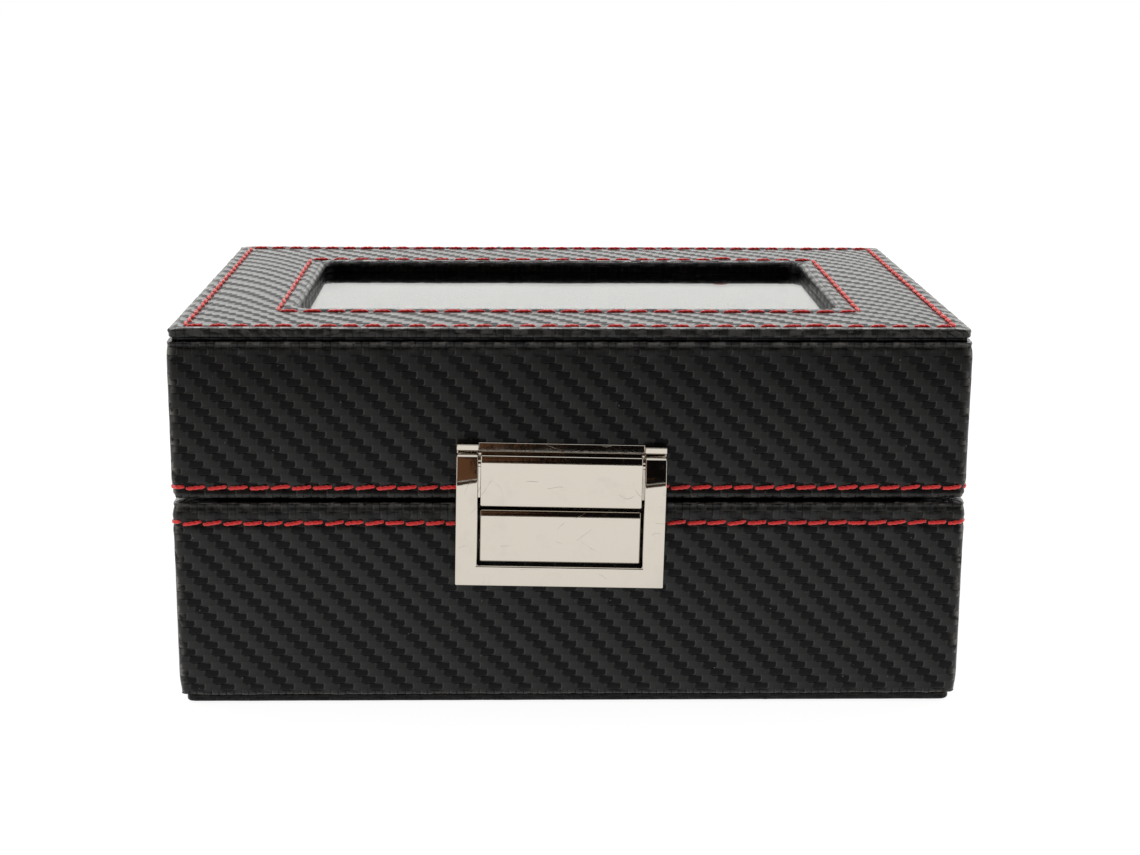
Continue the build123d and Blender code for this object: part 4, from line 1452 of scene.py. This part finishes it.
class WATCHBOX_OT_clasp(bpy.types.Operator):
    """Make the nickel clasp: lid plate with ears, upper block, catch and swinging bail"""
    bl_idname = "watchbox.clasp"
    bl_label = "Clasp"

    def execute(self, context):
        finish = context.scene.watchbox_metal
        matrix = clasp_matrix()
        bright = nickel()
        half_bail, arm, thick = 21.6 * MM, 4.5 * MM, 4.8 * MM
        half_block = 16.6 * MM

        xs = [-half_bail, -half_bail + arm, half_bail - arm, half_bail]
        ys = [0.6 * MM, 9.9 * MM, 11.0 * MM, 12.3 * MM]
        zs = [0.0, 0.8 * MM, 2.4 * MM]
        leans = (0.0, 0.0, 0.14 * MM, 0.34 * MM)

        def plate_spot(i, j, k):
            back = leans[j] if (i in (1, 2) and k == 1) else 0.0
            return (xs[i], ys[j], zs[k] - back)

        piece = cell_solid("clasp_plate", (3, 3, 2), lambda i, j, k: k == 0 or (j == 2 and i != 1),
                           plate_spot, matrix, finish.edge * 0.5)
        place(piece, "lid", "nickel", bright, "clasp_lid_plate")

        ups, fronts = sloped_front((-0.1 * MM, 10.6 * MM), thick, 1.25 * MM, 0.35 * MM)
        sides = [-half_block, half_block]
        piece = cell_solid("clasp_block", (1, len(ups) - 1, 1), lambda i, j, k: True,
                           lambda i, j, k: (sides[i], ups[j], 0.8 * MM if k == 0 else fronts[j]),
                           matrix, finish.edge)
        place(piece, "lid", "nickel", bright, "clasp_upper_block")

        catch_ups, catch_fronts = sloped_front((-12.3 * MM, -1.2 * MM), 3.6 * MM, 1.05 * MM, 0.35 * MM)
        piece = cell_solid("catch_block", (1, len(catch_ups) - 1, 1), lambda i, j, k: True,
                           lambda i, j, k: (sides[i], catch_ups[j], 0.0 if k == 0 else catch_fronts[j]),
                           matrix, finish.edge)
        place(piece, "base", "nickel", bright, "clasp_catch")
        bumps = [dome("snap_bump", 0.7 * MM, 0.3 * MM, matrix @ Matrix.Translation(
            (side * half_block, -8.0 * MM, 1.8 * MM)) @ Matrix.Rotation(side * math.pi / 2, 4, "Y"))
            for side in (-1, 1)]
        place(joined("catch_bumps", bumps), "base", "nickel", bright)

        pin_depth, round_end, top = 2.85 * MM, 1.95 * MM, 10.5 * MM
        end_round, bar_back = 1.1 * MM, 3.7 * MM
        twists = (0.7 * MM, -0.3 * MM, 0.5 * MM, -0.3 * MM)
        crown_start, end_start = top - finish.crown, top - end_round
        rises = [-17.2 * MM, -12.85 * MM]
        rises += list(np.linspace(crown_start, end_start, 15))
        rises += [end_start + (top - 0.03 * MM - end_start) * math.sin(math.radians(15 * index))
                  for index in range(1, 7)]

        def bail_front(level):
            past = max(0.0, min(level, end_start) - crown_start)
            sloped = thick - leaned_back(past, 0.26, 2.4 * MM)
            if level <= end_start:
                return sloped
            return sloped - end_round + math.sqrt(max(0.0, end_round ** 2 - (level - end_start) ** 2))

        def bail_back(level):
            if level <= PIN_LEVEL:
                return 0.9 * MM
            share_up = (level - PIN_LEVEL) / (top - PIN_LEVEL)
            hollow = 0.4 * MM
            return pin_depth - hollow - math.sqrt(max(0.0, (round_end - hollow) ** 2 * (1 - share_up ** 2)))

        def bail_spot(i, j, k):
            level = rises[j]
            front, back = bail_front(level), bail_back(level)
            middle = min(bar_back, (front + back) / 2) if level > crown_start else bar_back
            fading = max(0.0, end_start - level) / finish.crown if level >= crown_start else 0.0
            return (xs[i], level - twists[i] * fading, (back, middle, front)[k])

        piece = cell_solid("clasp_bail", (3, len(rises) - 1, 2),
                           lambda i, j, k: i != 1 or (j == 0 and k == 1), bail_spot, matrix, finish.edge)
        piece.name = "bail_frame"
        place(piece, "bail", "nickel", bright, "clasp_bail")
        refinish(["clasp_pin"], bright)
        return {"FINISHED"}


def lathe_points(profile, around):
    """Points of a profile of (radius, height) pairs turned about Z."""
    turns = np.linspace(0, 2 * math.pi, around, endpoint=False)
    return [(radius * math.cos(turn), radius * math.sin(turn), height)
            for radius, height in profile for turn in turns]


def dome(name, radius, height, matrix):
    """A low dome on a disc, placed by a matrix."""
    around, rings = 20, 5
    bm = bmesh.new()
    profile = [(radius, -0.1 * MM)]
    profile += [(radius * math.cos(math.radians(90 * index / rings)),
                 height * math.sin(math.radians(90 * index / rings))) for index in range(rings)]
    verts = [bm.verts.new(matrix @ Vector(point)) for point in lathe_points(profile, around)]
    tip = bm.verts.new(matrix @ Vector((0, 0, height)))
    for ring in range(len(profile) - 1):
        for spot in range(around):
            after = (spot + 1) % around
            bm.faces.new((verts[ring * around + spot], verts[ring * around + after],
                          verts[(ring + 1) * around + after], verts[(ring + 1) * around + spot]))
    last = (len(profile) - 1) * around
    for spot in range(around):
        bm.faces.new((verts[last + spot], verts[last + (spot + 1) % around], tip))
    bm.faces.new([verts[spot] for spot in range(around)][::-1])
    bmesh.ops.recalc_face_normals(bm, faces=bm.faces)
    mesh = finished_mesh(name, bm)
    smooth(mesh, math.radians(50))
    return new_object(name, mesh)


def joined(name, pieces):
    """Join unplaced pieces into one object with a new name."""
    bm = bmesh.new()
    for piece in pieces:
        bm.from_mesh(piece.data)
        spent = piece.data
        bpy.data.objects.remove(piece)
        bpy.data.meshes.remove(spent)
    mesh = finished_mesh(name, bm)
    smooth(mesh, math.radians(50))
    return new_object(name, mesh)


def screw_head(matrix, radius, height):
    """A countersunk head's low dome with a cross recess, as a bmesh-made object."""
    bm = bmesh.new()
    rings = [(radius, -0.3 * MM), (radius, 0.0), (radius * 0.93, height * 0.5),
             (radius * 0.72, height * 0.85), (radius * 0.5, height * 0.97)]
    arm, half_width = radius * 0.56, radius * 0.13
    around = 32
    verts = [[bm.verts.new(point) for point in circle(ring_radius, level, around)]
             for ring_radius, level in rings]
    for low, high in zip(verts, verts[1:]):
        for spot in range(around):
            after = (spot + 1) % around
            bm.faces.new((low[spot], low[after], high[after], high[spot]))
    bm.faces.new(verts[-1])
    bm.faces.new(verts[0][::-1])
    bmesh.ops.recalc_face_normals(bm, faces=bm.faces)
    head = new_object("screw_head", finished_mesh("screw_head", bm))

    bm = bmesh.new()
    quarter = [(arm, half_width), (half_width, half_width), (half_width, arm)]
    outline = []
    for _ in range(4):
        outline += quarter
        quarter = [(-y, x) for x, y in quarter]
    upper = [bm.verts.new((x, y, height * 2)) for x, y in outline]
    lower = [bm.verts.new((x * 0.6, y * 0.6, height - 0.32 * MM)) for x, y in outline]
    for spot in range(len(outline)):
        after = (spot + 1) % len(outline)
        bm.faces.new((upper[spot], upper[after], lower[after], lower[spot]))
    bm.faces.new(upper[::-1])
    bm.faces.new(lower)
    bmesh.ops.recalc_face_normals(bm, faces=bm.faces)
    cutter = new_object("cross_recess", finished_mesh("cross_recess", bm))
    cut = head.modifiers.new("Recess", "BOOLEAN")
    cut.object = cutter
    cut.operation = "DIFFERENCE"
    cut.solver = "EXACT"
    bpy.context.view_layer.update()
    finished = bpy.data.meshes.new_from_object(head.evaluated_get(bpy.context.evaluated_depsgraph_get()))
    head.modifiers.clear()
    spent = (head.data, cutter.data)
    head.data = finished
    bpy.data.objects.remove(cutter)
    for mesh in spent:
        bpy.data.meshes.remove(mesh)
    finished.transform(matrix)
    return head


class WATCHBOX_OT_hinges(bpy.types.Operator):
    """Finish the rear hinges: nickel leaves and pins, screws with cross recesses"""
    bl_idname = "watchbox.hinges"
    bl_label = "Hinges"

    def execute(self, context):
        bright = nickel()
        refinish(["hinge_base_leaves", "hinge_lid_leaves", "hinge_pins"], bright)
        random = np.random.default_rng(81)
        for body, node in (("base", "hinge_base_screws"), ("lid", "hinge_lid_screws")):
            low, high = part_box(node)
            level = (low.z + high.z) / 2
            radius = (high.z - low.z) / 2
            face = high.y - 0.5 * MM
            middles = (low.x + radius, high.x - radius)
            spread = 12 * MM
            heads = []
            for x in (middles[0], middles[0] + spread, middles[1] - spread, middles[1]):
                turn = Matrix.Rotation(random.uniform(0, math.pi), 4, "Z")
                seat = Matrix.Translation((x, face, level)) @ Matrix.Rotation(-math.pi / 2, 4, "X") @ turn
                heads.append(screw_head(seat, radius, 0.5 * MM))
            piece = joined(node.replace("screws", "screw_heads"), heads)
            place(piece, body, "nickel", bright, node)
        refinish(["clasp_lid_screws", "clasp_base_screws"], bright)
        return {"FINISHED"}


# ------------------------------------------------------------------ interior
class WATCHBOX_OT_interior(bpy.types.Operator):
    """Finish the boards, the velvet lining and dividers, the glass and its retaining frame"""
    bl_idname = "watchbox.interior"
    bl_label = "Interior"

    def execute(self, context):
        finish = context.scene.watchbox_interior
        lined = ["base_lining", "base_floor_pad", "divider_left", "divider_right", "lid_lining",
                 "glass_retaining_frame"]
        boards = [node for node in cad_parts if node.endswith("_wall") or node == "lid_top_board"]
        refinish(lined, velvet("lining_plush", tuple(finish.lining)))
        refinish(boards, fibreboard())
        refinish(["window_glass"], clear_glass())
        return {"FINISHED"}


def swollen(piece, pressure, most):
    """Puff a piece out with a short cloth simulation, each point moving no more than most."""
    cloth = piece.modifiers.new("Puff", "CLOTH")
    cloth.settings.use_pressure = True
    cloth.settings.uniform_pressure_force = pressure
    cloth.settings.effector_weights.gravity = 0.0
    cloth.settings.quality = 6
    cloth.settings.mass = 0.2
    cloth.settings.tension_stiffness = 12
    cloth.settings.compression_stiffness = 12
    cloth.settings.shear_stiffness = 6
    cloth.settings.bending_stiffness = 0.3
    start = np.array([vertex.co for vertex in piece.data.vertices])
    for number in range(1, 21):
        bpy.context.scene.frame_set(number)
    evaluated = piece.evaluated_get(bpy.context.evaluated_depsgraph_get())
    end = np.array([vertex.co for vertex in evaluated.data.vertices])
    piece.modifiers.remove(cloth)
    bpy.context.scene.frame_set(1)
    move = end - start
    length = np.linalg.norm(move, axis=1)
    scale = np.minimum(1.0, most / np.maximum(length, 1e-9))
    piece.data.vertices.foreach_set("co", (start + move * scale[:, None]).ravel())
    piece.data.update()


def pillow_form(half, name):
    """A stuffed pillow about the origin, a little smaller than its space."""
    bm = bmesh.new()
    bmesh.ops.create_cube(bm, size=2.0)
    bmesh.ops.subdivide_edges(bm, edges=bm.edges[:], cuts=15, use_grid_fill=True)
    for vertex in bm.verts:
        x, y, z = vertex.co
        power = 5.0
        size = (abs(x) ** power + abs(y) ** power + abs(z) ** power) ** (1 / power)
        vertex.co = Vector((x / size * half[0], y / size * half[1], z / size * half[2]))
    return new_object(name, finished_mesh(name, bm))


class WATCHBOX_OT_pillows(bpy.types.Operator):
    """Stuff the three velvet pillows, with a sewn seam round each end"""
    bl_idname = "watchbox.pillows"
    bl_label = "Pillows"

    def execute(self, context):
        finish = context.scene.watchbox_interior
        plush = velvet("pillow_plush", tuple(finish.pillow), 0.0005)
        for number, side in enumerate(("left", "centre", "right")):
            low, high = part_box("watch_pillow_" + side)
            middle = (low + high) / 2
            half = (high - low) / 2
            piece = self.pillow("pillow_" + side, half, finish.pillow_puff, number)
            piece.data.transform(Matrix.Translation(middle))
            place(piece, "pillow_" + side, "pillow_velvet", plush, "watch_pillow_" + side)
        return {"FINISHED"}

    def pillow(self, name, half, pressure, number):
        """One pillow about the origin, inside the given half sizes."""
        small = Vector([value - 1.2 * MM for value in half])
        piece = pillow_form(small * PILLOW_SCALE, name)
        remesh = piece.modifiers.new("Even mesh", "REMESH")
        remesh.mode = "VOXEL"
        remesh.voxel_size = 2.2 * MM * PILLOW_SCALE
        apply_modifiers(piece)
        swollen(piece, pressure, 3.0 * MM * PILLOW_SCALE)
        piece.data.transform(Matrix.Scale(1 / PILLOW_SCALE, 4))
        subdivide(piece, 1)
        points = np.array([vertex.co for vertex in piece.data.vertices])
        points = fitted(points, half)
        points = sewn_ends(points, half, number)
        piece.data.vertices.foreach_set("co", points.ravel())
        piece.data.update()
        smooth(piece.data)
        return piece


def apply_modifiers(piece):
    """Give a piece the mesh that its modifiers make of it."""
    bpy.context.view_layer.update()
    evaluated = piece.evaluated_get(bpy.context.evaluated_depsgraph_get())
    made = bpy.data.meshes.new_from_object(evaluated)
    piece.modifiers.clear()
    piece.data = made


def subdivide(piece, levels):
    """Apply a smooth subdivision to a piece's mesh."""
    surface = piece.modifiers.new("Smooth", "SUBSURF")
    surface.levels = surface.render_levels = levels
    apply_modifiers(piece)


def fitted(points, half):
    """Scale points so that they just fill the given half sizes."""
    low, high = points.min(axis=0), points.max(axis=0)
    return (points - (low + high) / 2) * (np.array(half) * 2 / (high - low))


def sewn_ends(points, half, number):
    """Pull a seam in round each end and add soft dents."""
    points = points.copy()
    seam = half[1] - 7.5 * MM
    outward = points * np.array((1.0, 0.0, 1.0))
    outward /= np.maximum(np.linalg.norm(outward, axis=1)[:, None], 1e-6)
    for sign in (-1, 1):
        wander = 0.5 * MM * ripple(points, 15 * MM, 91 + number)
        depth = 0.9 * MM * bell(points[:, 1] - sign * seam - wander, 0.9 * MM)
        pucker = 1 + 0.5 * ripple(points, 2.4 * MM, 95 + number)
        points -= outward * (depth * pucker)[:, None]
    soft = 0.35 * MM * ripple(points, 11 * MM, 97 + number)
    points -= outward * np.maximum(soft, 0.0)[:, None]
    return points


# --------------------------------------------------------------------- stage
class WATCHBOX_OT_stage(bpy.types.Operator):
    """Set the pale floor, the soft light round it and the camera"""
    bl_idname = "watchbox.stage"
    bl_label = "Stage"

    def execute(self, context):
        self.floor(context)
        self.world(context)
        self.camera(context)
        context.scene.view_settings.view_transform = "Standard"
        context.scene.view_settings.look = "None"
        return {"FINISHED"}

    def floor(self, context):
        """A large plain disc under the box."""
        stage = context.scene.watchbox_stage
        bm = bmesh.new()
        rings, around = (0.25, 0.6, 1.5, 4.0), 64
        centre = bm.verts.new((0, 0, 0))
        previous = None
        for radius in rings:
            radius *= stage.floor_radius / 4.0
            ring = [bm.verts.new(point) for point in circle(radius, 0.0, around)]
            for spot in range(around):
                after = (spot + 1) % around
                if previous is None:
                    bm.faces.new((centre, ring[spot], ring[after]))
                else:
                    bm.faces.new((previous[spot], ring[spot], ring[after], previous[after]))
            previous = ring
        mesh = finished_mesh("studio_floor", bm)
        floor = new_object("studio_floor", mesh)
        material, wire, shader, where = new_material("studio_floor")
        tone = wire.noise(where.outputs["Object"], 3.0, 2.0)
        shader.inputs["Roughness"].default_value = 1.0
        shader.inputs["Specular IOR Level"].default_value = 0.0
        parts = wire.node("ShaderNodeSeparateXYZ")
        wire.feed(parts.inputs[0], where.outputs["Object"])
        sheet = wire.step(parts.outputs[1], -stage.sheet_reach - 0.06, -stage.sheet_reach + 0.06)
        seen = wire.node("ShaderNodeLightPath").outputs["Is Camera Ray"]
        sheet = wire.larger(sheet, seen)
        paper = wire.mix(tone, (0.20, 0.20, 0.20, 1), (0.22, 0.22, 0.22, 1))
        wire.feed(shader.inputs["Base Color"], wire.mix(sheet, (0.02, 0.013, 0.009, 1), paper))
        glow = wire.mix(sheet, (0.03, 0.018, 0.011, 1), (1.0, 1.0, 1.0, 1))
        wire.feed(shader.inputs["Emission Color"], glow)
        shader.inputs["Emission Strength"].default_value = stage.floor_glow
        mesh.materials.append(material)

    def world(self, context):
        """Soft light: bright behind, dark above the camera, middling at the sides."""
        stage = context.scene.watchbox_stage
        world = bpy.data.worlds.new("studio")
        world.use_nodes = True
        context.scene.world = world
        tree = world.node_tree
        wire = Wiring(tree)
        where = wire.node("ShaderNodeTexCoord")
        parts = wire.node("ShaderNodeSeparateXYZ")
        wire.feed(parts.inputs[0], where.outputs["Generated"])
        x, y, z = parts.outputs
        back = wire.step(y, -0.10, 0.35)
        side = wire.step(wire.math("ABSOLUTE", x), 0.50, 0.9)
        left = wire.step(x, 0.15, -0.35)
        drift = wire.times(wire.minus(wire.noise(where.outputs["Generated"], 16.0, 3.0), 0.5), 0.22)
        warm = wire.step(wire.plus(x, drift), 0.01, -0.03)
        low_back = stage.back_light
        high_back = low_back * 2.3
        rising = wire.step(z, 0.24, 0.40)
        bright = wire.mix(rising, (low_back, low_back, low_back * 0.97, 1), (*(high_back,) * 3, 1))
        bright = wire.mix(wire.step(z, 0.55, 0.75), bright, (0.9, 0.9, 0.91, 1))
        dim = stage.front_light
        front = wire.mix(warm, (dim * 0.12, dim * 0.11, dim * 0.11, 1), (dim * 4.0, dim * 1.9, dim, 1))
        flank = wire.mix(left, (0.62, 0.63, 0.65, 1), (1.10, 1.10, 1.10, 1))
        sides = wire.mix(side, front, flank)
        colour_above = wire.mix(back, sides, bright)
        colour_above = wire.mix(wire.step(z, 0.74, 0.94), colour_above, (1.05, 1.05, 1.05, 1))
        below = wire.step(z, 0.02, -0.02)
        colour_all = wire.mix(below, colour_above, (1.0, 1.0, 1.0, 1))
        background = tree.nodes["Background"]
        wire.feed(background.inputs["Color"], colour_all)
        background.inputs["Strength"].default_value = 1.0

    def camera(self, context):
        """The camera at the height of a person seated at the table."""
        stage = context.scene.watchbox_stage
        lens = bpy.data.cameras.new("camera")
        lens.lens = stage.lens
        lens.sensor_width = 36.0
        lens.clip_start = 0.01
        lens.clip_end = 100.0
        camera = bpy.data.objects.new("camera", lens)
        context.scene.collection.objects.link(camera)
        yaw, pitch, roll = stage.yaw, stage.pitch, stage.roll
        ahead = Vector((math.sin(yaw), math.cos(yaw), 0.0))
        level = Vector((math.cos(yaw), -math.sin(yaw), 0.0))
        forward = ahead * math.cos(pitch) - Vector((0.0, 0.0, math.sin(pitch)))
        rise = ahead * math.sin(pitch) + Vector((0.0, 0.0, math.cos(pitch)))
        right = level * math.cos(roll) - rise * math.sin(roll)
        up = level * math.sin(roll) + rise * math.cos(roll)
        matrix = Matrix((right, up, -forward)).transposed().to_4x4()
        matrix.translation = Vector(stage.camera_place)
        camera.matrix_world = matrix
        context.scene.camera = camera


# --------------------------------------------------------------------- panel
STEPS = (
    WATCHBOX_OT_base_leather,
    WATCHBOX_OT_lid_leather,
    WATCHBOX_OT_top_leather,
    WATCHBOX_OT_bottom_panel,
    WATCHBOX_OT_stitching,
    WATCHBOX_OT_clasp,
    WATCHBOX_OT_hinges,
    WATCHBOX_OT_interior,
    WATCHBOX_OT_pillows,
    WATCHBOX_OT_stage,
)


class WATCHBOX_PT_panel(bpy.types.Panel):
    """The watch box's pieces and sizes in the sidebar"""
    bl_idname = "WATCHBOX_PT_panel"
    bl_label = "Watch Box"
    bl_space_type = "VIEW_3D"
    bl_region_type = "UI"
    bl_category = "Watch Box"

    def draw(self, context):
        layout = self.layout
        for step in STEPS:
            layout.operator(step.bl_idname)
        for group_name, group in GROUPS.items():
            settings = getattr(context.scene, group_name)
            box = layout.box()
            for name in group.__annotations__:
                box.prop(settings, name)


def register():
    """Register the properties, operators and panel."""
    for name, group in GROUPS.items():
        bpy.utils.register_class(group)
        setattr(bpy.types.Scene, name, PointerProperty(type=group))
    for step in STEPS:
        bpy.utils.register_class(step)
    bpy.utils.register_class(WATCHBOX_PT_panel)


def unregister():
    """Unregister everything that register() added."""
    bpy.utils.unregister_class(WATCHBOX_PT_panel)
    for step in reversed(STEPS):
        bpy.utils.unregister_class(step)
    for name, group in GROUPS.items():
        delattr(bpy.types.Scene, name)
        bpy.utils.unregister_class(group)


def main():
    """Build the whole scene."""
    register()
    for step in STEPS:
        space, call = step.bl_idname.split(".")
        getattr(getattr(bpy.ops, space), call)()


if __name__ == "__main__":
    main()
